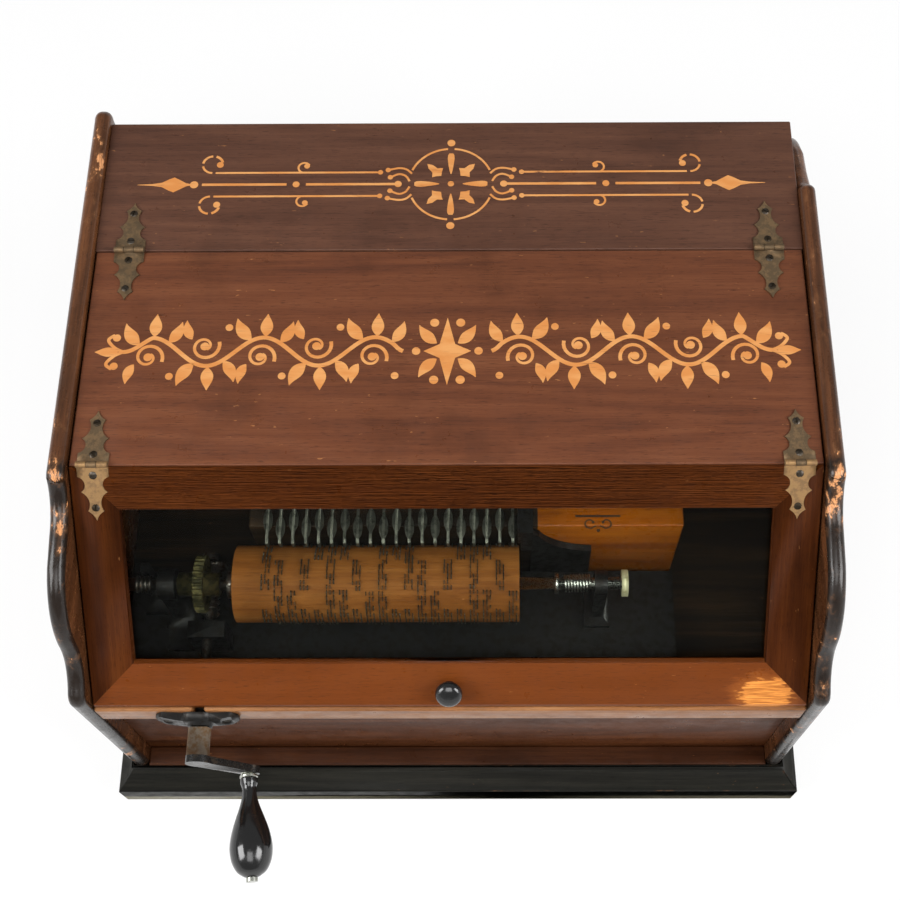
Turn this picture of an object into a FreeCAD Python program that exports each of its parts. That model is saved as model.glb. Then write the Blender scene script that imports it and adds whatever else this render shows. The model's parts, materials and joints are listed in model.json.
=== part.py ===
import FreeCAD, Part
import math
import os
import re

from FreeCAD import Placement, Rotation, Vector

# Table-top roller organ: a wooden case with a hinged lid and a glazed door over a pinned cob.
# Units are millimetres, +Z is up and the crank side faces -Y.
# The origin is on the floor, under the middle of the base.

# Driving dimensions. Depths called "at" are measured back from the front edge of the base.
SIZES = {
    # case
    "base_width": 460.0,
    "base_depth": 360.0,
    "base_overhang": 13.5,
    "base_height": 47.0,
    "base_fillet": 27.0,
    "floor_board": 12.0,
    "side_thickness": 10.0,
    "side_top": 300.0,
    "top_plane": 294.5,
    "board_thickness": 12.0,
    "lid_thickness": 14.0,
    "door_thickness": 14.0,
    "side_gap": 1.0,
    "joint_gap": 0.25,
    "door_hinge_at": 124.5,
    "lid_hinge_at": 261.0,
    "top_back_at": 352.0,
    "door_foot_at": 17.0,
    "door_foot_height": 195.5,
    "rail_at": 15.0,
    "rail_depth": 18.5,
    "rail_bottom": 170.0,
    "rail_top": 190.5,
    "apron_at": 26.5,
    "apron_thickness": 7.0,
    "slot_gap": 0.3,
    "cleat_width": 7.0,
    "cleat_depth": 9.0,
    "cleat_front": 30.0,
    # door
    "stile_width": 25.5,
    "bottom_rail_width": 27.0,
    "glass_thickness": 3.0,
    "glass_depth": 6.0,
    "glass_rebate": 3.5,
    "knob_diameter": 15.6,
    "knob_height": 12.0,
    "knob_from_edge": 11.0,
    # hinges and screws
    "leaf_width": 17.2,
    "leaf_length": 33.0,
    "leaf_thickness": 0.9,
    "barrel_radius": 1.8,
    "pin_radius": 1.0,
    "pin_lift": 2.0,
    "lid_hinge_spacing": 372.0,
    "door_hinge_spacing": 384.8,
    "screw_head_radius": 2.2,
    "screw_hole_radius": 1.2,
    "screw_length": 9.0,
    "door_screw_length": 5.6,
    # crank and worm drive
    "plate_length": 46.6,
    "plate_height": 17.2,
    "plate_shift": -1.7,
    "plate_screw_spacing": 34.0,
    "plate_screw_radius": 2.4,
    "crank_offset": -146.0,
    "crank_height": 180.0,
    "crank_shaft_radius": 3.0,
    "crank_reach": 37.0,
    "crank_angle": -46.0,
    "arm_at": -9.2,
    "arm_thickness": 4.2,
    "hub_at": 7.2,
    "hub_radius": 6.6,
    "handle_post_radius": 2.0,
    "handle_splay": 5.8,
    "handle_length": 60.0,
    "handle_radius": 12.6,
    "worm_tip_radius": 6.0,
    "worm_core_radius": 4.7,
    "worm_pitch": 3.7,
    "worm_turns": 6.0,
    "disc_at": 103.8,
    "disc_radius": 11.5,
    "disc_thickness": 3.0,
    "wheel_left": -149.6,
    "wheel_radius": 16.8,
    "wheel_root_radius": 15.0,
    "wheel_width": 5.6,
    "wheel_teeth": 28.0,
    "pump_throw": 8.0,
    "crankpin_radius": 2.5,
    "rod_at": 107.4,
    "rod_thickness": 4.0,
    "rod_width": 5.0,
    "rod_length": 76.0,
    "rod_slot": 28.0,
    # cob and its spindles
    "cob_axis_at": 88.0,
    "cob_axis_height": 203.0,
    "cob_left": -125.5,
    "cob_length": 166.0,
    "cob_radius": 22.7,
    "pin_height": 1.3,
    "pin_wire": 0.9,
    "pin_seat": 1.2,
    "cob_bore_depth": 8.0,
    "feed_shaft_radius": 4.0,
    "tail_nose": 6.0,
    "tail_radius": 3.5,
    "tail_end": 101.0,
    "tail_collar": 61.6,
    "tail_bearing": 85.0,
    "feed_shaft_left": -192.0,
    "drive_bearing": -172.0,
    "running_gap": 0.06,
    "spring_wire": 1.1,
    "spring_radius": 4.9,
    "spring_turns": 8.5,
    # keys
    "key_count": 20.0,
    "key_first": -106.1,
    "key_pitch": 7.52,
    "key_pivot_at": 168.0,
    "key_pivot_height": 231.0,
    "key_tip_at": 104.5,
    "key_tip_height": 221.0,
    "key_thickness": 1.6,
    "key_rod_radius": 1.5,
    # chest and bellows
    "chest_left": -118.0,
    "chest_right": 137.0,
    "chest_at": 115.6,
    "chest_depth": 90.0,
    "chest_top": 225.0,
    "pump_board_bottom": 128.0,
    "pump_board_top": 138.0,
    "pump_board_at": 34.0,
    "bed_left": -200.0,
    "bed_length": 337.0,
    "bed_at": 40.0,
    "bed_depth": 72.0,
    "bed_bottom": 150.0,
    "bed_top": 156.0,
    "bellows_board": 8.0,
    "feeder_left": -192.0,
    "feeder_right": -20.0,
    "feeder_at": 117.0,
    "feeder_back_at": 332.0,
    "feeder_opening": 11.6,
    "reservoir_width": 376.0,
    "reservoir_at": 216.0,
    "reservoir_back_at": 334.0,
    "reservoir_opening": 42.0,
    "cloth_gap": 0.3,
    "cloth_inset": 2.0,
}

doc = FreeCAD.newDocument("roller_organ")
sheet = doc.addObject("Spreadsheet::Sheet", "Sizes")
parts = []


def fill_sheet():
    """Write the driving dimensions into the sheet, one alias each."""
    for row, (name, number) in enumerate(SIZES.items(), start=1):
        sheet.set("A%d" % row, name)
        sheet.set("B%d" % row, str(number))
        sheet.setAlias("B%d" % row, name)
    doc.recompute()


def size(name):
    """One driving dimension, read back from the sheet."""
    return float(sheet.get(name))


def scoped(expression):
    """The expression with each dimension's name pointed at the sheet."""
    return re.sub(r"\b([a-z]+(?:_[a-z]+)+)\b", r"Sizes.\1", expression)


def bind(thing, **expressions):
    """Bind properties to the sheet; x, y and z stand for the placement."""
    for name, expression in expressions.items():
        path = "Placement.Base." + name if name in ("x", "y", "z") else name
        thing.setExpression(path, scoped(expression))
    return thing


def behind_front(expression):
    """A depth measured from the base's front edge, as a Y expression."""
    return "(%s) - base_depth / 2" % expression


def from_front(depth):
    """A depth measured from the base's front edge, as a Y number."""
    return depth - size("base_depth") / 2


def keep(thing, label):
    """Name a finished sub-part and list it for writing."""
    thing.Label = label
    parts.append(thing)
    return thing


def box(x, y, z, width, depth, height):
    """A box from its low corner and its sizes, all as expressions."""
    solid = doc.addObject("Part::Box", "board")
    return bind(solid, x=x, y=y, z=z, Length=width, Width=depth, Height=height)


INNER_WIDTH = "base_width - 2 * base_overhang - 2 * side_thickness"
TURNS = {"x": Rotation(Vector(0, 1, 0), 90), "y": Rotation(Vector(1, 0, 0), -90), "z": Rotation()}


def cylinder(axis, x, y, z, radius, length):
    """A cylinder that starts at a point and runs along +X, +Y or +Z."""
    solid = doc.addObject("Part::Cylinder", "turned")
    solid.Placement = Placement(Vector(), TURNS[axis])
    return bind(solid, x=x, y=y, z=z, Radius=radius, Height=length)


def fuse(*solids):
    """One solid from several that overlap or touch."""
    joined = doc.addObject("Part::MultiFuse", "joined")
    joined.Shapes = list(solids)
    joined.Refine = True
    return joined


def cut(base, *tools):
    """The base with every tool taken away."""
    result = doc.addObject("Part::Cut", "cut")
    result.Base = base
    result.Tool = tools[0] if len(tools) == 1 else fuse(*tools)
    result.Refine = True
    return result


def shaped(label, solids):
    """A sub-part whose shape comes from one solid or a group of separate ones."""
    feature = doc.addObject("Part::Feature", label)
    feature.Shape = solids[0] if len(solids) == 1 else Part.makeCompound(solids)
    return keep(feature, label)


def outline_edges(start, steps):
    """Edges of a closed outline made of points and (middle, end) arcs."""
    edges = []
    here = Vector(*start, 0) if len(start) == 2 else Vector(*start)
    first = here
    for step in steps + [start]:
        if isinstance(step[0], tuple):
            middle, end = (Vector(*point, 0) for point in step)
            edges.append(Part.Arc(here, middle, end))
        else:
            end = Vector(*step, 0)
            if (end - here).Length < 1e-6:
                continue
            edges.append(Part.LineSegment(here, end))
        here = end
    if (here - first).Length > 1e-6:
        raise ValueError("outline is open")
    return edges


def padded_outline(label, start, steps, length, **place):
    """A body with one outline sketched in the side view, padded along X by a bound length."""
    body = doc.addObject("PartDesign::Body", label)
    sketch = body.newObject("Sketcher::SketchObject", label + "_outline")
    side_plane = [item for item in body.Origin.OriginFeatures if item.Role == "YZ_Plane"][0]
    sketch.AttachmentSupport = [(side_plane, "")]
    sketch.MapMode = "FlatFace"
    for edge in outline_edges(start, steps):
        sketch.addGeometry(edge, False)
    pad = body.newObject("PartDesign::Pad", label + "_pad")
    pad.Profile = sketch
    bind(pad, Length=length)
    bind(body, **place)
    doc.recompute()
    return body


def prism(points, height, base=0.0):
    """A plain prism on a plan polygon."""
    corners = [Vector(x, y, base) for x, y in points]
    face = Part.Face(Part.makePolygon(corners + corners[:1]))
    return face.extrude(Vector(0, 0, height))


def lying_cylinder(axis, start, radius, length):
    """A cylinder as a shape, from a start point along a direction."""
    return Part.makeCylinder(radius, length, Vector(*start), Vector(*axis))


def on_axis(x, radius, length):
    """A cylinder on the cob's axis, from x towards +X."""
    return lying_cylinder((1, 0, 0), (x, from_front(size("cob_axis_at")), size("cob_axis_height")), radius, length)


# Case: base, sides, boards and rails


def make_base():
    """The floor board and the mitred cove moulding with the ledge behind it."""
    keep(
        box(
            "-base_width / 2 + base_overhang",
            behind_front("base_overhang"),
            "0",
            "base_width - 2 * base_overhang",
            "base_depth - base_overhang",
            "floor_board",
        ),
        "base_board",
    )
    out = size("base_overhang")
    top = size("base_height")
    fillet = size("base_fillet")
    half_case = size("base_width") / 2 - out
    front = from_front(0)
    back = from_front(size("base_depth"))
    lip = 1.2
    edges = outline_edges(
        (0, 0), [(out, 0), (out, fillet), ((5.4, fillet + 9.0), (lip, top - 4)), (lip, top), (0, top)]
    )
    section = Part.Face(Part.Wire([edge.toShape() for edge in edges]))
    across = section.copy()
    across.Placement = Placement(Vector(-half_case - out, front + out, 0), Rotation(0, 0, 90))
    across.rotate(Vector(-half_case - out, front + out, 0), Vector(0, 0, 1), -90)
    front_strip = across.extrude(Vector(2 * (half_case + out), 0, 0))
    mitred = prism(
        [
            (-half_case - out, front),
            (half_case + out, front),
            (half_case, front + out),
            (-half_case, front + out),
        ],
        top,
    )
    along = section.copy()
    along.Placement = Placement(Vector(half_case, front, 0), Rotation(0, 0, 90))
    right_strip = along.extrude(Vector(0, back - front, 0)).common(
        prism(
            [(half_case, front + out), (half_case + out, front), (half_case + out, back), (half_case, back)],
            top,
        )
    )
    left_strip = right_strip.mirror(Vector(), Vector(1, 0, 0))
    inner = half_case - size("side_thickness")
    ledge = Part.makeBox(
        2 * inner,
        size("apron_at") - out,
        top - size("floor_board"),
        Vector(-inner, front + out, size("floor_board")),
    )
    shaped("base_moulding", [front_strip.common(mitred), left_strip, right_strip, ledge])


def side_steps(broken):
    """The side's outline, from the front foot over the scrolled nose to the rear foot."""
    front = from_front(size("base_overhang"))
    back = from_front(size("base_depth"))
    top = size("side_top")
    foot = size("floor_board")

    def at(depth, height):
        return (from_front(depth), height)

    scroll = [
        (front, 204),
        (at(14.6, 209.5), at(18, 213)),
        (at(29.6, 221.5), at(37.3, 237.5)),
        (at(48.5, 262), at(72, 277.6)),
        at(90, 281),
        (at(105, 286.5), at(114.6, 297.6)),
        at(117, top),
    ]
    if broken:
        rear = [at(303, top), at(307, 291), at(324, 284.5), at(340, 281.5), at(352, 274), (back, 268)]
    else:
        rear = [at(352, top), (at(358, 298.5), (back, 291))]
    return (front, foot), scroll + rear + [(back, foot)]


def make_side(label, x, broken):
    """One scrolled side panel."""
    start, steps = side_steps(broken)
    body = padded_outline(label, start, steps, "side_thickness", x=x)
    return keep(body, label)


def make_case_boards():
    """The fixed boards between the sides."""
    inner = INNER_WIDTH
    left = "-(%s) / 2" % inner
    keep(
        box(
            left,
            behind_front("top_back_at - board_thickness"),
            "floor_board",
            inner,
            "board_thickness",
            "top_plane - board_thickness - floor_board",
        ),
        "back_board",
    )
    keep(
        box(
            left,
            behind_front("lid_hinge_at + joint_gap"),
            "top_plane - board_thickness",
            inner,
            "top_back_at - lid_hinge_at - joint_gap",
            "board_thickness",
        ),
        "rear_top_board",
    )
    keep(
        box(left, behind_front("apron_at"), "floor_board", inner, "apron_thickness", "rail_bottom - floor_board"),
        "front_apron",
    )
    rail = box(left, behind_front("rail_at"), "rail_bottom", inner, "rail_depth", "rail_top - rail_bottom")
    slot = box(
        "crank_offset - crank_shaft_radius - slot_gap",
        behind_front("rail_at - 1"),
        "crank_height - crank_shaft_radius - slot_gap",
        "2 * (crank_shaft_radius + slot_gap)",
        "rail_depth + 2",
        "rail_top - crank_height + crank_shaft_radius + slot_gap + 1",
    )
    keep(cut(rail, slot), "front_rail")


def door_slope():
    """The door's length along its slope and its angle to the floor."""
    run = size("door_hinge_at") - size("door_foot_at")
    rise = size("top_plane") - size("door_foot_height")
    return math.hypot(run, rise), math.degrees(math.atan2(rise, run))


def make_cleats():
    """Two bent strips on the sides that the lid and the door close on."""
    slope = math.radians(door_slope()[1])
    gap = size("joint_gap")
    depth = size("cleat_depth")
    under_door = size("door_thickness") + gap
    normal = Vector(0, -math.sin(slope), math.cos(slope))
    along = Vector(0, math.cos(slope), math.sin(slope))
    foot = Vector(0, from_front(size("door_foot_at")), size("door_foot_height"))
    lid_under = size("top_plane") - size("lid_thickness") - gap

    def under(distance, drop):
        point = foot + along * distance - normal * drop
        return (point.y, point.z)

    low_front = under(size("cleat_front"), under_door)
    low_back = under(size("cleat_front"), under_door + depth)
    knee_top = foot + along * ((lid_under - foot.z + normal.z * under_door) / along.z) - normal * under_door
    knee_low = foot - normal * (under_door + depth)
    reach = (lid_under - depth - knee_low.z) / along.z
    knee_low = knee_low + along * reach
    rear = from_front(size("lid_hinge_at") - 4)
    points = [
        low_front,
        low_back,
        (knee_low.y, knee_low.z),
        (rear, lid_under - depth),
        (rear, lid_under),
        (knee_top.y, knee_top.z),
    ]
    inner = size("base_width") / 2 - size("base_overhang") - size("side_thickness")
    corners = [Vector(-inner, y, z) for y, z in points]
    face = Part.Face(Part.makePolygon(corners + corners[:1]))
    left = face.extrude(Vector(size("cleat_width"), 0, 0))
    shaped("side_cleats", [left, left.mirror(Vector(), Vector(1, 0, 0))])


def make_lid():
    """The flat lid board between the sides."""
    keep(
        box(
            "-(%s) / 2 + side_gap" % INNER_WIDTH,
            behind_front("door_hinge_at + joint_gap"),
            "top_plane - lid_thickness",
            "%s - 2 * side_gap" % INNER_WIDTH,
            "lid_hinge_at - door_hinge_at - 2 * joint_gap",
            "lid_thickness",
        ),
        "lid_board",
    )


# Door


def door_place():
    """From the door's own plane to the closed door: X across, Y up the slope."""
    angle = door_slope()[1]
    foot = Vector(0, from_front(size("door_foot_at")), size("door_foot_height"))
    return Placement(foot, Rotation(Vector(1, 0, 0), angle))


def make_door():
    """The mitred frame, the glass in its rebate and the turned knob."""
    length, angle = door_slope()
    slope = math.radians(angle)
    thick = size("door_thickness")
    gap = size("joint_gap")
    half = size("base_width") / 2 - size("base_overhang") - size("side_thickness") - size("side_gap")
    lip = size("door_foot_height") - size("rail_top") - gap
    back_run = thick * math.tan(slope)
    section = [
        (0, 0),
        (-lip * math.sin(slope), -lip * math.cos(slope)),
        (-lip * math.sin(slope) + (thick - lip * math.cos(slope)) / math.tan(slope), -thick),
        (length - gap - back_run, -thick),
        (length - gap, 0),
    ]
    corners = [Vector(-half, y, z) for y, z in section]
    slab = Part.Face(Part.makePolygon(corners + corners[:1])).extrude(Vector(2 * half, 0, 0))
    sight = half - size("stile_width")
    low = size("bottom_rail_width")
    high = length - size("stile_width")
    rebate = size("glass_rebate")
    glass_top = -size("glass_depth")
    opening = Part.makeBox(2 * sight, high - low, 4 * thick, Vector(-sight, low, -2 * thick))
    ledge = Part.makeBox(
        2 * (sight + rebate),
        high - low + 2 * rebate,
        2 * thick,
        Vector(-sight - rebate, low - rebate, glass_top - 2 * thick),
    )
    frame = slab.cut(opening).cut(ledge)
    far = 40.0
    bottom_wedge = [(-sight, low), (-half, 0), (-half - far, -far), (half + far, -far), (half, 0), (sight, low)]
    top_wedge = [
        (-sight, high),
        (-half, length),
        (-half - far, length + far),
        (half + far, length + far),
        (half, length),
        (sight, high),
    ]
    bottom = frame.common(prism(bottom_wedge, 6 * thick, -3 * thick))
    top = frame.common(prism(top_wedge, 6 * thick, -3 * thick))
    stiles = frame.cut(bottom).cut(top)
    frame_part = shaped("door_frame", [bottom, top] + stiles.Solids)
    frame_part.Placement = door_place()
    play = 0.2
    pane = doc.addObject("Part::Box", "pane")
    pane.Length = 2 * (sight + rebate - play)
    pane.Width = high - low + 2 * (rebate - play)
    bind(pane, Height="glass_thickness")
    corner = Vector(-sight - rebate + play, low - rebate + play, glass_top - size("glass_thickness"))
    pane.Placement = door_place().multiply(Placement(corner, Rotation()))
    keep(pane, "door_glass")
    knob = turned(
        [
            (0, 0),
            (4.6, 0),
            (4.6, 1.6),
            (3.2, 3.2),
            (3.2, 4.0),
            (6.4, 5.0),
            ((7.45, 5.95), (size("knob_diameter") / 2, 7.4)),
            ((7.35, 8.9), (6.2, 9.85)),
            (3.4, 11.5),
            (0, size("knob_height")),
        ]
    )
    knob_part = shaped("door_knob", [knob])
    at_edge = Placement(Vector(0, size("knob_from_edge"), 0.05), Rotation())
    knob_part.Placement = door_place().multiply(at_edge)


def turned(profile):
    """A solid of revolution about Z from (radius, height) points and arcs."""
    edges = outline_edges(profile[0], profile[1:])
    face = Part.Face(Part.Wire([edge.toShape() for edge in edges]))
    face.rotate(Vector(), Vector(1, 0, 0), 90)
    return face.revolve(Vector(), Vector(0, 0, 1), 360)


# Hinges and their screws


def leaf(outer, lift):
    """One pointed, scalloped hinge leaf along -Y, with its knuckles about the X axis."""
    half = size("leaf_width") / 2
    tip = size("leaf_length")
    thick = size("leaf_thickness")
    inside = size("barrel_radius") * 0.55
    right = [
        (half, -7.4),
        ((4.9, -11.6), (7.3, -16.2)),
        ((3.2, -22.0), (4.4, -27.4)),
        ((1.9, -29.4), (0, -tip)),
    ]
    left = [
        ((-1.9, -29.4), (-4.4, -27.4)),
        ((-3.2, -22.0), (-7.3, -16.2)),
        ((-4.9, -11.6), (-half, -7.4)),
        (-half, -inside),
    ]
    edges = outline_edges((half, -inside), right + left)
    plate = Part.Face(Part.Wire([edge.toShape() for edge in edges])).extrude(Vector(0, 0, thick))
    plate.translate(Vector(0, 0, -lift))
    for hole in screw_spots():
        plate = plate.cut(lying_cylinder((0, 0, 1), (0, -hole, -lift - 1), size("screw_hole_radius"), thick + 2))
    third = 2 * half / 3
    play = 0.15
    radius = size("barrel_radius")
    if outer:
        spans = [(-half, third - play), (half - third + play, third - play)]
        clear = [(-third / 2 - play, third + 2 * play)]
    else:
        spans = [(-third / 2 + play, third - 2 * play)]
        clear = [(-half - 1, third + 1 + play), (third / 2 - play, third + 2 + play)]
    above = Part.makeBox(2 * tip, 2 * tip, 2 * tip, Vector(-tip, -tip, 0))
    solid = plate
    for start, length in spans:
        barrel = lying_cylinder((1, 0, 0), (start, 0, 0), radius, length)
        web = Part.makeBox(length, radius, lift, Vector(start, -radius, -lift))
        solid = solid.fuse(barrel).fuse(web.cut(above))
    for start, length in clear:
        solid = solid.cut(lying_cylinder((1, 0, 0), (start, 0, 0), radius + 0.2, length))
    bore = size("pin_radius") + (size("running_gap") if outer else 0)
    solid = solid.cut(lying_cylinder((1, 0, 0), (-half - 1, 0, 0), bore, 2 * half + 2))
    return solid.removeSplitter()


def screw_spots():
    """Distances of a leaf's two screws from its pin."""
    return (6.5, 25.4)


def screw(radius, length):
    """A slotted round head on its shank, seated at z = 0."""
    crown = radius * 0.32
    head = turned([(0, 0), (radius, 0), (radius, 0.25), ((radius * 0.6, crown * 0.9), (0, crown))])
    slot = Part.makeBox(3 * radius, 0.55, crown, Vector(-1.5 * radius, -0.275, crown * 0.45))
    shank = lying_cylinder((0, 0, 1), (0, 0, -length), radius / 2, length)
    return head.cut(slot).fuse(shank)


def placed(shape, place):
    """A copy of a shape at a placement."""
    copy = shape.copy()
    copy.Placement = place.multiply(copy.Placement)
    return copy


def hinge_frames():
    """Where the leaves sit: name, lift, outer knuckles or not, and both placements."""
    slope = door_slope()[1]
    lift = size("pin_lift")
    half_turn = Rotation(Vector(0, 0, 1), 180)
    rear_y = from_front(size("lid_hinge_at"))
    front_y = from_front(size("door_hinge_at"))
    height = size("top_plane") + lift
    rear = [Vector(side * size("lid_hinge_spacing") / 2, rear_y, height) for side in (-1, 1)]
    front = [Vector(side * size("door_hinge_spacing") / 2, front_y, height) for side in (-1, 1)]
    door_lift = lift * math.cos(math.radians(slope)) - 0.02
    down_slope = Rotation(Vector(1, 0, 0), slope)
    return {
        "case": (lift, True, [Placement(spot, half_turn) for spot in rear]),
        "lid_rear": (lift, False, [Placement(spot, Rotation()) for spot in rear]),
        "lid_front": (lift, False, [Placement(spot, half_turn) for spot in front]),
        "door": (door_lift, True, [Placement(spot, down_slope) for spot in front]),
    }


def make_hinges():
    """Leaves, pins and screws of the two lid hinges and the two door hinges."""
    frames = hinge_frames()
    radius = size("screw_head_radius")
    length = size("screw_length")
    seat = size("leaf_thickness") + 0.02

    def leaves(name):
        lift, outer, places = frames[name]
        return [placed(leaf(outer, lift), place) for place in places]

    def screws(name, length):
        lift, outer, places = frames[name]
        solids = []
        for place in places:
            for number, hole in enumerate(screw_spots()):
                turn = Rotation(Vector(0, 0, 1), 35 + 70 * number)
                spot = Placement(Vector(0, -hole, seat - lift), turn)
                solids.append(placed(screw(radius, length), place.multiply(spot)))
        return solids

    shaped("case_hinge_leaves", leaves("case"))
    shaped("lid_hinge_leaves", leaves("lid_rear") + leaves("lid_front"))
    shaped("door_hinge_leaves", leaves("door"))
    pins = []
    half = size("leaf_width") / 2
    for name in ("lid_rear", "lid_front"):
        for place in frames[name][2]:
            start = place.Base - Vector(half, 0, 0)
            pins.append(lying_cylinder((1, 0, 0), start, size("pin_radius"), 2 * half))
    shaped("hinge_pins", pins)
    plate_screws = []
    for x in plate_screw_spots():
        upright = Placement(Vector(x, from_front(size("rail_at")) - 2.62, size("crank_height")), Rotation())
        upright = upright.multiply(Placement(Vector(), Rotation(Vector(1, 0, 0), 90)))
        plate_screws.append(placed(screw(size("plate_screw_radius"), length), upright))
    shaped("case_screws", screws("case", length) + plate_screws)
    shaped("lid_screws", screws("lid_rear", length) + screws("lid_front", length))
    shaped("door_screws", screws("door", size("door_screw_length")))


def plate_screw_spots():
    """Positions along X of the crank plate's two screws."""
    centre = size("crank_offset") + size("plate_shift")
    half = size("plate_screw_spacing") / 2
    return (centre - half, centre + half)


# Crank, worm wheel and connecting rod


def make_crank_plate():
    """The bowed plate on the rail that carries the crank shaft."""
    centre = size("crank_offset") + size("plate_shift")
    half = size("plate_length") / 2
    height = size("plate_height")
    waist = height / 2 - 2.0
    swell = height / 2 + 0.8
    round_end = 1.2
    face_y = from_front(size("rail_at"))
    middle = size("crank_height")
    low = middle - height / 2
    edges = outline_edges(
        (-half, 0),
        [
            ((-half - round_end, -1.0), (-half, -2.2)),
            ((0, -5.2), (half, -2.2)),
            ((half + round_end, -1.0), (half, 0)),
        ],
    )
    bow = Part.Face(Part.Wire([edge.toShape() for edge in edges])).extrude(Vector(0, 0, height))
    bow.translate(Vector(centre, face_y - 0.02, low))
    rounds = outline_edges(
        (-half + 4, -height / 2),
        [
            (-8, -waist),
            ((0, -swell), (8, -waist)),
            (half - 4, -height / 2),
            ((half + round_end, 0), (half - 4, height / 2)),
            (8, waist),
            ((0, swell), (-8, waist)),
            (-half + 4, height / 2),
            ((-half - round_end, 0), (-half + 4, -height / 2)),
        ],
    )
    front = Part.Face(Part.Wire([edge.toShape() for edge in rounds]))
    front.rotate(Vector(), Vector(1, 0, 0), 90)
    front.translate(Vector(centre, face_y + 1, middle))
    shape = bow.common(front.extrude(Vector(0, -12, 0)))
    boss = lying_cylinder((0, -1, 0), (size("crank_offset"), face_y - 0.02, middle), 7.2, 7.0)
    shaft_bore = size("crank_shaft_radius") + size("running_gap")
    bore = lying_cylinder((0, -1, 0), (size("crank_offset"), face_y + 2, middle), shaft_bore, 20)
    shape = shape.fuse(boss).cut(bore)
    for x in plate_screw_spots():
        hole = lying_cylinder((0, -1, 0), (x, face_y + 2, middle), size("screw_hole_radius") + 0.2, 20)
        seat = lying_cylinder((0, -1, 0), (x, face_y - 2.6, middle), size("plate_screw_radius") + 0.6, 6)
        shape = shape.cut(hole).cut(seat)
    shaped("crank_bearing_plate", [shape.removeSplitter()])


def helix_points(radius, pitch, turns, steps_per_turn):
    """Points and directions along a helix about Z, in even steps."""
    rows = []
    for step in range(int(round(turns * steps_per_turn)) + 1):
        angle = 2 * math.pi * step / steps_per_turn
        spot = Vector(radius * math.cos(angle), radius * math.sin(angle), pitch * angle / (2 * math.pi))
        way = Vector(-radius * math.sin(angle), radius * math.cos(angle), pitch / (2 * math.pi))
        rows.append((spot, way.normalize()))
    return rows


def tangent_arc(start, way, end):
    """The arc that leaves start along way and reaches end."""
    chord = end - start
    side = chord - way * chord.dot(way)
    height = side.Length
    if height < 1e-9:
        return Part.LineSegment(start, end)
    side = side * (1.0 / height)
    radius = chord.Length ** 2 / (2 * height)
    centre = start + side * radius
    halfway = (start + end) * 0.5 - centre
    middle = centre + halfway.normalize() * radius
    return Part.Arc(start, middle, end)


def biarc(start, way, end, end_way):
    """Two tangent arcs from one point and direction to another."""
    chord = end - start
    twist = way + end_way
    a = twist.dot(twist) - 4
    b = -2 * chord.dot(twist)
    c = chord.dot(chord)
    if abs(a) < 1e-9:
        reach = -c / b
    else:
        reach = (-b - math.sqrt(b * b - 4 * a * c)) / (2 * a)
        if reach < 0:
            reach = (-b + math.sqrt(b * b - 4 * a * c)) / (2 * a)
    joint = (start + way * reach + end - end_way * reach) * 0.5
    first = tangent_arc(start, way, joint)
    back = tangent_arc(end, end_way * -1, joint)
    return [first, back]


def wound_tube(radius, pitch, turns, wire, tails):
    """A wire wound on a helix about Z; tails turn its ends to run straight along Z."""
    rows = helix_points(radius, pitch, turns, 4)
    edges = []
    for (start, way), (end, end_way) in zip(rows, rows[1:]):
        edges += [piece.toShape() for piece in biarc(start, way, end, end_way)]
    begin, begin_way = rows[0]
    if tails:
        bend = 1.7 * wire
        last, last_way = rows[-1]
        lead_out = last + Vector(last_way.x, last_way.y, 0).normalize() * bend + Vector(0, 0, bend)
        edges += [piece.toShape() for piece in biarc(last, last_way, lead_out, Vector(0, 0, 1))]
        edges.append(Part.LineSegment(lead_out, lead_out + Vector(0, 0, wire)).toShape())
        lead_in = begin - Vector(begin_way.x, begin_way.y, 0).normalize() * bend - Vector(0, 0, bend)
        opening = [piece.toShape() for piece in biarc(lead_in, Vector(0, 0, 1), begin, begin_way)]
        straight = Part.LineSegment(lead_in - Vector(0, 0, wire), lead_in).toShape()
        edges = [straight] + opening + edges
        begin, begin_way = lead_in - Vector(0, 0, wire), Vector(0, 0, 1)
    path = Part.Wire(Part.__sortEdges__(edges))
    section = Part.Wire([Part.Circle(begin, begin_way, wire / 2).toShape()])
    tube = path.makePipeShell([section], True, False)
    gap = pitch * math.cos(math.atan2(pitch, 2 * math.pi * radius)) - wire
    print("wound tube: %.2f turns, least gap %.2f mm, volume %.1f of %.1f"
          % (turns, gap, tube.Volume, path.Length * math.pi * wire * wire / 4))
    return tube


def make_crank_shaft():
    """The crank shaft with its worm, its disc and the crankpin for the rod."""
    x = size("crank_offset")
    z = size("crank_height")
    front = size("arm_at") + 0.2
    disc_at = size("disc_at")
    disc_thickness = size("disc_thickness")
    shaft = lying_cylinder((0, 1, 0), (x, from_front(front), z), size("crank_shaft_radius"), disc_at + 0.2 - front)
    worm_y = from_front(size("cob_axis_at"))
    core_radius = size("worm_core_radius")
    half_worm = 13.0
    core = lying_cylinder((0, 1, 0), (x, worm_y - half_worm, z), core_radius, 2 * half_worm)
    wire = 2 * (size("worm_tip_radius") - core_radius)
    turns = size("worm_turns")
    thread = wound_tube(core_radius, size("worm_pitch"), turns, wire, False)
    thread.rotate(Vector(), Vector(1, 0, 0), -90)
    thread.translate(Vector(x, worm_y - turns * size("worm_pitch") / 2, z))
    disc = lying_cylinder((0, 1, 0), (x, from_front(disc_at), z), size("disc_radius"), disc_thickness)
    pin_start = disc_at + disc_thickness - 0.3
    pin_length = size("rod_at") + size("rod_thickness") + 0.4 - pin_start
    pin_height = z + size("pump_throw")
    pin = lying_cylinder((0, 1, 0), (x, from_front(pin_start), pin_height), size("crankpin_radius"), pin_length)
    shaped("crank_shaft", [shaft.fuse(core).fuse(thread).fuse(disc).fuse(pin).removeSplitter()])


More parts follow.
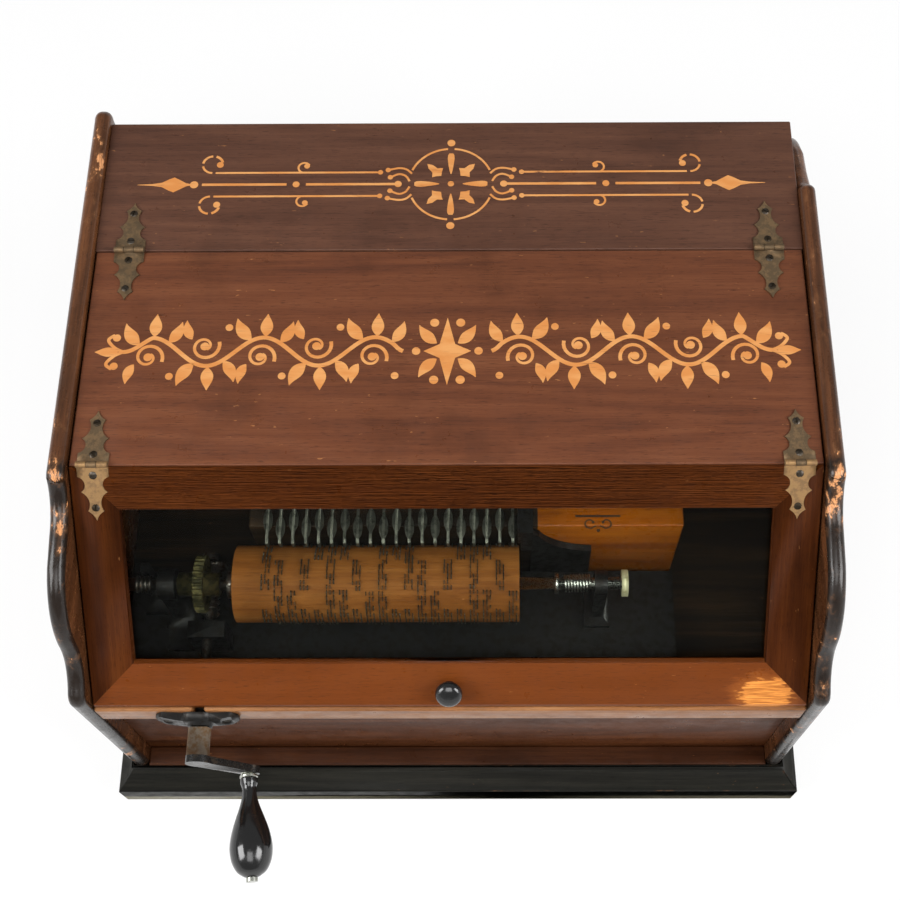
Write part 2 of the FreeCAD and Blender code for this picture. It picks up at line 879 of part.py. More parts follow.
def handle_seat():
    """Where the handle's foot sits on the arm, and which way its post points."""
    angle = math.radians(size("crank_angle"))
    splay = math.radians(size("handle_splay"))
    reach = size("crank_reach")
    x = size("crank_offset") + reach * math.cos(angle)
    z = size("crank_height") + reach * math.sin(angle)
    seat = Vector(x, from_front(size("arm_at") - size("arm_thickness")), z)
    return seat, Vector(math.sin(splay), -math.cos(splay), 0)


def make_crank_arm():
    """The flat crank arm with its hub, and the riveted post that the handle turns on."""
    x = size("crank_offset")
    z = size("crank_height")
    reach = size("crank_reach")
    hub_front = size("hub_at") - size("arm_at") + 0.2
    hub = lying_cylinder((0, -1, 0), (x, from_front(size("hub_at")), z), size("hub_radius"), hub_front)
    flat = Part.makeBox(20, 20, 4, Vector(x - 10, from_front(-12), z + 5.0))
    bar = outline_edges(
        (-7.2, 0),
        [
            ((0, 7.2), (5, 6.4)),
            (reach - 2, 5.2),
            ((reach + 6.6, 0), (reach - 2, -5.2)),
            (5, -6.4),
            ((0, -7.2), (-7.2, 0)),
        ],
    )
    arm = Part.Face(Part.Wire([edge.toShape() for edge in bar])).extrude(Vector(0, 0, size("arm_thickness")))
    arm.rotate(Vector(), Vector(1, 0, 0), 90)
    arm.rotate(Vector(), Vector(0, 1, 0), -size("crank_angle"))
    arm.translate(Vector(x, from_front(size("arm_at")), z))
    bore = lying_cylinder((0, 1, 0), (x, from_front(size("arm_at") + 0.2), z), size("crank_shaft_radius"), 40)
    seat, splay = handle_seat()
    length = size("handle_length")
    post = lying_cylinder(splay, seat - splay * 3, size("handle_post_radius"), length + 4)
    boss = lying_cylinder(splay, seat - splay * 2, 4.6, 2.6)
    rivet = lying_cylinder(splay, seat + splay * (length + 0.3), 3.4, 2.2)
    arm = arm.fuse(hub.cut(flat)).cut(bore).fuse(boss).fuse(post).fuse(rivet)
    shaped("crank_arm", [arm.removeSplitter()])


def make_handle():
    """The turned handle: a ferrule, a slim neck and a pear-shaped grip round its bore."""
    grip = size("handle_radius")
    length = size("handle_length")
    foot = 0.9
    ferrule = 5.1
    neck = 4.4
    inside = size("handle_post_radius") + size("running_gap")
    profile = turned(
        [
            (inside, foot),
            (ferrule, foot),
            (ferrule, neck),
            (neck, 5.2),
            ((4.7, 10), (6.2, 18)),
            ((11.2, 29.5), (grip, 41)),
            ((10.2, 50.5), (neck, length)),
            (inside, length),
        ]
    )
    handle = shaped("crank_handle", [profile])
    seat, splay = handle_seat()
    handle.Placement = Placement(seat, Rotation(Vector(0, 0, 1), splay))
    print("handle seat %.2f %.2f %.2f, way %.4f %.4f" % (seat.x, seat.y, seat.z, splay.x, splay.y))


def make_wheel():
    """The worm wheel, a hollowed brass gear that the feed shaft slides through."""
    teeth = int(size("wheel_teeth"))
    tip = size("wheel_radius")
    root = size("wheel_root_radius")
    width = size("wheel_width")
    left = size("wheel_left")
    axis_y = from_front(size("cob_axis_at"))
    axis_z = size("cob_axis_height")
    tooth_form = ((0.0, root), (0.22, root), (0.36, tip), (0.64, tip), (0.78, root))
    points = []
    for tooth in range(teeth):
        for share, radius in tooth_form:
            angle = 2 * math.pi * (tooth + share) / teeth
            points.append(Vector(left, axis_y + radius * math.cos(angle), axis_z + radius * math.sin(angle)))
    rim = Part.Face(Part.makePolygon(points + points[:1])).extrude(Vector(width, 0, 0))
    hollow_radius = 12.4
    hollow = 1.4
    for start in (left - 1, left + width - hollow):
        rim = rim.cut(on_axis(start, hollow_radius, 1 + hollow))
    boss_left = 10.9
    boss_right = 7.9
    boss = on_axis(left - boss_left, 7.0, boss_left + width + boss_right)
    bore = on_axis(left - 30, size("feed_shaft_radius") + size("running_gap"), 60)
    shaped("worm_wheel", [rim.fuse(boss).cut(bore).removeSplitter()])


def make_rod():
    """The connecting rod that hangs from the crankpin."""
    x = size("crank_offset")
    top = size("crank_height") + size("pump_throw")
    low = top - size("rod_length")
    y = from_front(size("rod_at"))
    thick = size("rod_thickness")
    width = size("rod_width")
    upper_bore = size("crankpin_radius") + size("running_gap")
    eye = lying_cylinder((0, 1, 0), (x, y, top), upper_bore + 2.64, thick)
    foot = lying_cylinder((0, 1, 0), (x, y, low), 4.4, thick)
    web = Part.makeBox(width, thick, size("rod_length"), Vector(x - width / 2, y, low))
    rod = eye.fuse(foot).fuse(web)
    rod = rod.cut(lying_cylinder((0, 1, 0), (x, y - 1, top), upper_bore, thick + 2))
    rod = rod.cut(lying_cylinder((0, 1, 0), (x, y - 1, low), 1.6, thick + 2))
    shaped("connecting_rod", [rod.removeSplitter()])


# Cob, spindles and brackets


def make_cob():
    """The wooden cob, bored at both ends for its spindles."""
    left = size("cob_left")
    length = size("cob_length")
    tail_bore = size("tail_radius") + size("running_gap")
    cob = on_axis(left, size("cob_radius"), length)
    cob = cob.cut(on_axis(left + length - size("tail_nose") - 0.4, tail_bore, 20))
    cob = cob.cut(on_axis(left - 1, size("feed_shaft_radius"), size("cob_bore_depth") + 1))
    shaped("cob", [cob])


def make_pins():
    """The wire pins round the cob, one set of rows to each key."""
    y = from_front(size("cob_axis_at"))
    z = size("cob_axis_height")
    wire = size("pin_wire")
    seat = size("pin_seat")
    around = 12
    stagger = 1.6
    pins = []
    for row in range(int(size("key_count"))):
        x = size("key_first") + row * size("key_pitch")
        for turn in range(around):
            lean = (row * 7 + turn * turn * 5) % 12
            shift = ((row * 5 + turn * 3) % 3 - 1) * stagger
            corner = Vector(x + shift - wire / 2, -wire / 2, size("cob_radius") - seat)
            pin = Part.makeBox(wire, wire * (1 + lean % 3), size("pin_height") + seat, corner)
            pin.rotate(Vector(), Vector(1, 0, 0), turn * 360.0 / around + 2.0 * lean)
            pin.translate(Vector(0, y, z))
            pins.append(pin)
    shaped("cob_pins", pins)


def make_spindles():
    """The ringed feed shaft with its driver, and the sprung tail spindle with its coil."""
    left = size("cob_left")
    start = size("feed_shaft_left")
    shaft = on_axis(start, size("feed_shaft_radius"), left + size("cob_bore_depth") - start)
    rings = 4
    ring_pitch = 2.6
    for ring in range(rings):
        shaft = shaft.fuse(on_axis(start + 6.6 + ring_pitch * ring, 5.2, 1.2))
    driver = on_axis(left - 5.7, 8.5, 3.0)
    shaped("feed_shaft", [shaft.fuse(driver).removeSplitter()])

    nose = left + size("cob_length") - size("tail_nose")
    end = size("tail_end")
    collar_at = size("tail_collar")
    collar_width = 2.2
    tail = on_axis(nose, size("tail_radius"), end - nose)
    collar = on_axis(collar_at, 6.4, collar_width)
    thumb = on_axis(end, 8.0, 3.6)
    shaped("tail_spindle", [tail.fuse(collar).fuse(thumb).removeSplitter()])

    wire = size("spring_wire")
    lead = 2.7 * wire
    seat_gap = 0.05
    seat = collar_at + collar_width + seat_gap
    run = size("tail_bearing") - seat - seat_gap
    turns = size("spring_turns")
    coil = wound_tube(size("spring_radius"), (run - 2 * lead) / turns, turns, wire, True)
    coil.rotate(Vector(), Vector(0, 1, 0), 90)
    coil.translate(Vector(seat + lead, from_front(size("cob_axis_at")), size("cob_axis_height")))
    shaped("tail_spring", [coil])


def make_bed():
    """The cast bed plate on its feet, with the slot for the connecting rod."""
    bed = box("bed_left", behind_front("bed_at"), "bed_bottom", "bed_length", "bed_depth", "bed_top - bed_bottom")
    slot = box(
        "crank_offset - rod_slot / 2", behind_front("rod_at - 2.9"), "bed_bottom - 1", "rod_slot", "10", "20"
    )
    foot_gap = 8.0
    feet = []
    for x in ("bed_left + %g" % foot_gap, "-60", "40", "bed_left + bed_length - 9"):
        for at in ("bed_at + 7", "bed_at + bed_depth - 18"):
            height = "bed_bottom - pump_board_top + 1"
            feet.append(cylinder("z", x, behind_front(at), "pump_board_top", "6", height))
    keep(cut(fuse(bed, *feet), slot), "bed_plate")


def bearing_post(x, width, bore, top_radius):
    """A cast post from the bed plate up round a bore on the cob's axis."""
    y = from_front(size("cob_axis_at"))
    base = size("bed_top")
    depth = 14.0
    flange = 4.0
    post = Part.makeBox(width, depth, size("cob_axis_height") - base, Vector(x, y - depth / 2, base))
    foot_depth = depth + 3 * flange
    foot = Part.makeBox(width + 2 * flange, foot_depth, flange, Vector(x - flange, y - foot_depth / 2, base))
    head = on_axis(x, top_radius, width)
    return post.fuse(foot).fuse(head).cut(on_axis(x - 10, bore, width + 20))


def make_brackets():
    """The drive bracket on the left and the tail bracket on the right of the cob."""
    gap = size("running_gap")
    x = size("crank_offset")
    z = size("crank_height")
    base = size("bed_top")
    flange = 4.0
    left = size("drive_bearing")
    post = bearing_post(left, 10.0, size("feed_shaft_radius") + gap, 9.0)
    block_at = 60.5
    half_block = 11.0
    block = Part.makeBox(2 * half_block, 10, z + 7 - base, Vector(x - half_block, from_front(block_at), base))
    shaft_bore = size("crank_shaft_radius") + gap
    block = block.cut(lying_cylinder((0, 1, 0), (x, from_front(50), z), shaft_bore, 40))
    tie = Part.makeBox(24, 24, flange, Vector(left - 2, from_front(block_at), base))
    follower = Part.makeBox(8, 6, 50, Vector(left - 15, from_front(94.5), base))
    blade = Part.makeBox(1.0, 5.0, 12, Vector(left - 11.9, from_front(94.0), 197))
    shoe = Part.makeBox(16, 20, flange, Vector(left - 18, from_front(84), base))
    bracket = post.fuse(block).fuse(tie).fuse(follower).fuse(blade).fuse(shoe)
    shaped("drive_bracket", [bracket.removeSplitter()])
    tail = bearing_post(size("tail_bearing"), 7.5, size("tail_radius") + gap, 7.6)
    shaped("tail_bracket", [tail.removeSplitter()])


# Chest, keys and bellows


def make_chest():
    """The wind board that the works stand on and the valve chest on it."""
    wind_board = box(
        "-(%s) / 2" % INNER_WIDTH,
        behind_front("pump_board_at"),
        "pump_board_bottom",
        INNER_WIDTH,
        "top_back_at - board_thickness - pump_board_at",
        "pump_board_top - pump_board_bottom",
    )
    slot = box(
        "crank_offset - rod_slot / 2", behind_front("rod_at - 5.4"), "pump_board_bottom - 1", "rod_slot", "12.5", "20"
    )
    keep(cut(wind_board, slot), "pump_board")
    chest = box(
        "chest_left",
        behind_front("chest_at"),
        "pump_board_top",
        "chest_right - chest_left",
        "chest_depth",
        "chest_top - pump_board_top",
    )
    keep(chest, "valve_chest")


def make_key_bracket():
    """The keys' bracket with its comb, the rod they hinge on and the cheek beside it."""
    base = size("chest_top")
    count = int(size("key_count"))
    first = size("key_first")
    pitch = size("key_pitch")
    left = first - 9.5
    right = first + (count - 1) * pitch + 2.9
    comb_at = 127.0
    cheek_at = 105.0
    plate_thickness = 2.4
    depth = 52.0
    right_width = 8.6
    pivot_y = from_front(size("key_pivot_at"))
    pivot_z = size("key_pivot_height")
    back_y = from_front(comb_at)
    front_y = from_front(cheek_at)
    plate = Part.makeBox(right + 8 - left, depth, plate_thickness, Vector(left, back_y, base))
    left_cheek = Part.makeBox(6.2, depth, 14, Vector(left, back_y, base))
    right_cheek = Part.makeBox(right_width, depth + comb_at - cheek_at, 17, Vector(right, front_y, base))
    horn = Part.makeBox(right_width - 2, 8, 20, Vector(right + 2, front_y, base - 12))
    comb = Part.makeBox(right - left, 2.2, 10.5, Vector(left, back_y, base))
    bracket = plate.fuse(left_cheek).fuse(right_cheek).fuse(comb).fuse(horn)
    notch = 2.8
    for number in range(count):
        corner = Vector(first + number * pitch - notch / 2, back_y - 2, base + plate_thickness)
        bracket = bracket.cut(Part.makeBox(notch, 6, 20, corner))
    rod_radius = size("key_rod_radius")
    bore = lying_cylinder((1, 0, 0), (left - 1, pivot_y, pivot_z), rod_radius, right - left + 12)
    rod = lying_cylinder((1, 0, 0), (left, pivot_y, pivot_z), rod_radius, right - left + right_width)
    shoulder = outline_edges((0, 0), [(36, 0), (36, 38), ((16, 46), (4, 63)), (0, 66)])
    cheek = Part.Face(Part.Wire([edge.toShape() for edge in shoulder])).extrude(Vector(0, 0, 4))
    cheek.rotate(Vector(), Vector(1, 0, 0), 90)
    cheek.translate(Vector(right + right_width + 0.1, from_front(size("chest_at") - 0.2), size("bed_top")))
    shaped("key_bracket", [bracket.cut(bore).removeSplitter(), rod, cheek])


def make_keys():
    """Twenty sprung levers, each with its flattened lozenge, striking tip and pallet."""
    base = size("chest_top")
    pivot_at = size("key_pivot_at")
    pivot_z = size("key_pivot_height")
    tip_at = size("key_tip_at")
    tip_z = size("key_tip_height")
    thick = size("key_thickness")
    rod_z = tip_z + 6.0
    lever = [
        (tip_at, tip_z),
        (tip_at + 1.6, tip_z),
        (tip_at + 3.4, rod_z),
        (pivot_at - 4, pivot_z - 1.2),
        (pivot_at + 3.5, pivot_z - 2.6),
        (pivot_at + 3.5, pivot_z + 2.6),
        (pivot_at - 4, pivot_z + 1.2),
        (tip_at + 2.0, rod_z + 2.2),
        (tip_at - 0.4, rod_z + 1.0),
    ]
    points = [Vector(-thick / 2, from_front(at), z) for at, z in lever]
    lozenge = outline_edges(
        (-0.8, -7),
        [
            ((-2.3, -3.5), (-2.6, 0)),
            ((-2.3, 3.5), (-0.8, 7)),
            (0.8, 7),
            ((2.3, 3.5), (2.6, 0)),
            ((2.3, -3.5), (0.8, -7)),
        ],
    )
    near_lozenge = 9.5
    far_lozenge = 14.0
    pallet = Part.makeBox(5.6, 14, 2.6, Vector(-2.8, from_front(138), base + 2.7))
    stem = Part.makeBox(thick, 5, 4.0, Vector(-thick / 2, from_front(142), base + 4.2))
    rod_bore = size("key_rod_radius") + size("running_gap")
    bore = lying_cylinder((1, 0, 0), (-5, from_front(pivot_at), pivot_z), rod_bore, 10)
    for number in range(int(size("key_count"))):
        lozenge_at = tip_at + (near_lozenge if number % 2 else far_lozenge)
        blade = Part.Face(Part.Wire([edge.toShape() for edge in lozenge])).extrude(Vector(0, 0, 1.3))
        blade.translate(Vector(0, from_front(lozenge_at), rod_z + 0.6))
        shape = Part.Face(Part.makePolygon(points + points[:1])).extrude(Vector(thick, 0, 0))
        shape = shape.fuse(blade).fuse(pallet).fuse(stem).cut(bore)
        key = shaped("key_%02d" % (number + 1), [shape.removeSplitter()])
        bind(key, x="key_first + %d * key_pitch" % number)


def make_bellows():
    """The feeder under the wind board and the reservoir above it, each with a rounded hinge edge."""
    nose = "bellows_board / 2"
    feeder_low = "pump_board_bottom - feeder_opening - bellows_board"
    feeder = box(
        "feeder_left",
        behind_front("feeder_at"),
        feeder_low,
        "feeder_right - feeder_left - " + nose,
        "feeder_back_at - feeder_at",
        "bellows_board",
    )
    feeder_edge = cylinder(
        "y",
        "feeder_right - " + nose,
        behind_front("feeder_at"),
        feeder_low + " + " + nose,
        nose,
        "feeder_back_at - feeder_at",
    )
    lug = box(
        "crank_offset - rod_width",
        behind_front("feeder_at - 4.6"),
        feeder_low,
        "2 * rod_width",
        "5",
        "crank_height + pump_throw - rod_length + 5 - (%s)" % feeder_low,
    )
    keep(fuse(feeder, feeder_edge, lug), "feeder_board")
    reservoir_low = "pump_board_top + reservoir_opening"
    reservoir = box(
        "-reservoir_width / 2",
        behind_front("reservoir_at"),
        reservoir_low,
        "reservoir_width",
        "reservoir_back_at - reservoir_at - " + nose,
        "bellows_board",
    )
    reservoir_edge = cylinder(
        "x",
        "-reservoir_width / 2",
        behind_front("reservoir_back_at - " + nose),
        reservoir_low + " + " + nose,
        nose,
        "reservoir_width",
    )
    keep(fuse(reservoir, reservoir_edge), "reservoir_board")
    inset = size("cloth_inset")
    gap = size("cloth_gap")
    low = size("pump_board_bottom")
    high = size("pump_board_top")
    half = size("reservoir_width") / 2 - inset
    feeder_cloth = bellows_tube(
        (size("feeder_left") + inset, size("feeder_right") - inset),
        (size("feeder_at") + inset, size("feeder_back_at") - inset),
        (low - size("feeder_opening") + gap, low - gap),
        1,
    )
    reservoir_cloth = bellows_tube(
        (-half, half),
        (size("reservoir_at") + inset, size("reservoir_back_at") - inset),
        (high + gap, high + size("reservoir_opening") - gap),
        3,
    )
    shaped("bellows_cloth", [feeder_cloth, reservoir_cloth])


def bellows_tube(sides, depths, heights, folds):
    """A closed cloth bag with outward folds between two boards, from pairs of limits."""
    left, right = sides
    front, back = depths
    low, high = heights
    step = (high - low) / (2 * folds)
    fold_depth = min(5.0, step * 0.7)
    wires = []
    for level in range(2 * folds + 1):
        inset = 0 if level % 2 else fold_depth
        z = low + step * level
        corners = [
            Vector(left + inset, from_front(front + inset), z),
            Vector(right - inset, from_front(front + inset), z),
            Vector(right - inset, from_front(back - inset), z),
            Vector(left + inset, from_front(back - inset), z),
        ]
        wires.append(Part.makePolygon(corners + corners[:1]))
    return Part.makeLoft(wires, True, True)


def check_document():
    """Stop if any object failed or any sub-part's shape is unsound."""
    doc.recompute()
    for thing in doc.Objects:
        if {"Invalid", "Error"} & set(thing.State):
            raise RuntimeError("%s is in state %s" % (thing.Label, thing.State))
    for thing in parts:
        if thing.Shape.isNull() or not thing.Shape.isValid() or not thing.Shape.Solids:
            raise RuntimeError("%s has no sound shape" % thing.Label)


def write_parts():
    """Write one file for each sub-part."""
    os.makedirs("parts", exist_ok=True)
    for thing in parts:
        thing.Shape.exportStep("parts/%s.step" % thing.Label)
    print("%d sub-parts written" % len(parts))


fill_sheet()
make_base()
make_side("left_side", "-base_width / 2 + base_overhang", False)
make_side("right_side", "base_width / 2 - base_overhang - side_thickness", True)
make_case_boards()
make_cleats()
make_lid()
make_door()
make_hinges()
make_crank_plate()
make_crank_shaft()
make_crank_arm()
make_handle()
make_wheel()
make_rod()
make_cob()
make_pins()
make_spindles()
make_bed()
make_brackets()
make_chest()
make_key_bracket()
make_keys()
make_bellows()
check_document()
write_parts()
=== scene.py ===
"""A table-top roller organ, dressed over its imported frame.

The frame carries every piece at its real place. This script softens the edges of the
woodwork, gives every surface its finish, adds the stencilled ornament, the screws and the
cob's wire pins, and sets up a plain studio.
"""
import json
import logging
import math
from dataclasses import dataclass, field
from enum import Enum
from typing import Callable, Sequence

import bmesh
import bpy
from mathutils import Euler, Matrix, Vector


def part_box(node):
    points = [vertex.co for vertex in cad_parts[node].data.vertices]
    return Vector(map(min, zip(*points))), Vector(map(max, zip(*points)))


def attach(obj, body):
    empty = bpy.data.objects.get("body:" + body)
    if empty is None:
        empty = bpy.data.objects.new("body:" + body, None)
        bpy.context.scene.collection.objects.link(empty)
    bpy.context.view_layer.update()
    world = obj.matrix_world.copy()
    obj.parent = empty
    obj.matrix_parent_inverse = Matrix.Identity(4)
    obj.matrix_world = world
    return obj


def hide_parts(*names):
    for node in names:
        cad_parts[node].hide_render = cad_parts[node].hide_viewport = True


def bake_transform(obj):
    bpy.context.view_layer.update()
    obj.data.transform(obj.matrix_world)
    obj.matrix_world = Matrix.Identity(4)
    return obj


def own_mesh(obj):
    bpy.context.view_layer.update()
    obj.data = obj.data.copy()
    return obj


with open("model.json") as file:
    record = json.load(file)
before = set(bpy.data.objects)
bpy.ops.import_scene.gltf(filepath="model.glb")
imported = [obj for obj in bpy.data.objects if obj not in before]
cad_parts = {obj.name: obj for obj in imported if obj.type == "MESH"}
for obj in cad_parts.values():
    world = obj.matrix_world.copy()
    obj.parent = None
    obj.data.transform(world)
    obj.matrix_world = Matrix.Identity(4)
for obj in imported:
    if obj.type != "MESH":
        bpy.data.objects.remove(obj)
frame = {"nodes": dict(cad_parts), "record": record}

LOG = logging.getLogger("roller_organ")
MM = 0.001
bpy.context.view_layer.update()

Colour = tuple[float, float, float]
Point = tuple[float, float]
Triple = tuple[float, float, float]


# Helpers for node trees


class Tree:
    """A node tree written as short calls."""

    def __init__(self, tree: bpy.types.NodeTree) -> None:
        """Keeps the tree, emptied."""
        self.tree = tree
        self.tree.nodes.clear()

    def add(self, kind: str, inputs: dict | None = None, **settings: object) -> bpy.types.Node:
        """Adds one node.

        Args:
            kind: The node's type.
            inputs: Values or sockets for its inputs, by name or number.
            settings: Properties of the node itself.

        Returns:
            The new node.
        """
        node = self.tree.nodes.new(kind)
        for name, value in settings.items():
            setattr(node, name, value)
        for name, value in (inputs or {}).items():
            socket = node.inputs[name]
            if isinstance(value, bpy.types.NodeSocket):
                self.tree.links.new(value, socket)
            else:
                socket.default_value = value
        return node

    def join(self, source: bpy.types.NodeSocket, target: bpy.types.NodeSocket) -> None:
        """Links one socket to another."""
        self.tree.links.new(source, target)


class Shades(Tree):
    """A material's node tree."""

    def __init__(self, name: str) -> None:
        """Makes an empty material of that name."""
        self.material = bpy.data.materials.new(name)
        self.material.use_nodes = True
        super().__init__(self.material.node_tree)
        self.coords = self.add("ShaderNodeTexCoord").outputs["Object"]

    def place(self, size: Triple, turn: Triple = (0.0, 0.0, 0.0), shift: Triple = (0.0, 0.0, 0.0)):
        """Object coordinates measured in units of size, after a turn.

        Args:
            size: Length of one unit along each turned axis, in metres.
            turn: Turn of the pattern about X, Y and Z, in radians.
            shift: Where the pattern's origin lies, in metres.

        Returns:
            The vector socket.
        """
        inputs = {"Vector": self.coords, "Location": shift, "Rotation": turn, "Scale": size}
        return self.add("ShaderNodeMapping", inputs, vector_type="TEXTURE").outputs[0]

    def noise(self, where, scale: float = 1.0, detail: float = 3.0, rough: float = 0.5, warp: float = 0.0):
        """A noise value at a vector, from 0 to 1.

        Args:
            where: The vector socket.
            scale: How many features fit in one unit.
            detail: Octaves.
            rough: Share of the finer octaves.
            warp: How much the noise bends itself.

        Returns:
            The value socket.
        """
        inputs = {"Vector": where, "Scale": scale, "Detail": detail, "Roughness": rough, "Distortion": warp}
        return self.add("ShaderNodeTexNoise", inputs).outputs[0]

    def sums(self, operation: str, a, b=0.0, clamp: bool = False):
        """A Math node's result."""
        return self.add("ShaderNodeMath", {0: a, 1: b}, operation=operation, use_clamp=clamp).outputs[0]

    def band(self, value, low: float, high: float, start: float = 0.0, end: float = 1.0):
        """A value eased from start to end as it passes from low to high."""
        inputs = {"Value": value, "From Min": low, "From Max": high, "To Min": start, "To Max": end}
        return self.add("ShaderNodeMapRange", inputs, interpolation_type="SMOOTHSTEP").outputs[0]

    def blend(self, share, low, high, kind: str = "MIX"):
        """Two colours mixed by a share."""
        mix = self.add("ShaderNodeMix", data_type="RGBA", blend_type=kind)
        for number, value in ((0, share), (6, low), (7, high)):
            if isinstance(value, bpy.types.NodeSocket):
                self.join(value, mix.inputs[number])
            elif isinstance(value, tuple):
                mix.inputs[number].default_value = (*value, 1.0)
            else:
                mix.inputs[number].default_value = value
        return mix.outputs[2]

    def ramp(self, value, stops: Sequence[tuple[float, Colour]]):
        """A colour ramp through the given stops."""
        node = self.add("ShaderNodeValToRGB", {"Fac": value})
        elements = node.color_ramp.elements
        while len(elements) < len(stops):
            elements.new(0.5)
        for element, (spot, colour) in zip(elements, stops):
            element.position = spot
            element.color = (*colour, 1.0)
        return node.outputs[0]

    def axis(self, number: int):
        """One of the object coordinates: 0 for X, 1 for Y, 2 for Z."""
        return self.add("ShaderNodeSeparateXYZ", {0: self.coords}).outputs[number]

    def edge(self):
        """The piece's own edge attribute: 1 on its rounded edges, 0 on its flats."""
        return self.add("ShaderNodeAttribute", attribute_name="edge").outputs["Fac"]

    def bump(self, height, strength: float, depth: float):
        """A bump normal from a height."""
        inputs = {"Height": height, "Strength": strength, "Distance": depth}
        return self.add("ShaderNodeBump", inputs).outputs[0]

    def finish(self, colour, roughness, normal=None, **fixed: float) -> bpy.types.Material:
        """Closes the tree with one Principled shader.

        Args:
            colour: Base colour, a socket or a colour.
            roughness: Roughness, a socket or a number.
            normal: The normal's socket, if there is one.
            fixed: Other sockets' plain values, with _ for a space in the name.

        Returns:
            The material.
        """
        inputs = {"Base Color": colour if isinstance(colour, bpy.types.NodeSocket) else (*colour, 1.0)}
        inputs["Roughness"] = roughness
        if normal is not None:
            inputs["Normal"] = normal
        inputs.update({name.replace("_", " "): value for name, value in fixed.items()})
        shader = self.add("ShaderNodeBsdfPrincipled", inputs)
        output = self.add("ShaderNodeOutputMaterial")
        self.join(shader.outputs[0], output.inputs["Surface"])
        return self.material


# Finishes


class Grain(Enum):
    """Which way the wood's fibres run."""

    ALONG_X = "x"
    ALONG_Y = "y"
    ALONG_Z = "z"
    DOWN_THE_SLOPE = "slope"

    def sizes(self, along: float, across: float) -> Triple:
        """Feature sizes along each axis.

        Args:
            along: Feature length along the fibres.
            across: Feature width across them.

        Returns:
            Sizes for X, Y and Z.
        """
        order = {"x": (along, across, across), "z": (across, across, along)}
        return order.get(self.value, (across, along, across))

    def turn(self) -> Triple:
        """The turn that lays the Y axis down the door's slope."""
        return (DOOR_SLOPE, 0.0, 0.0) if self is Grain.DOWN_THE_SLOPE else (0.0, 0.0, 0.0)


DOOR_SLOPE = math.radians(42.7)
BARE_WOOD: Colour = (0.62, 0.27, 0.09)
NOSE_PAINT_ENDS = -0.05


@dataclass(frozen=True)
class Patch:
    """A worn spot where bare wood shows."""

    middle: Triple
    reach: Triple


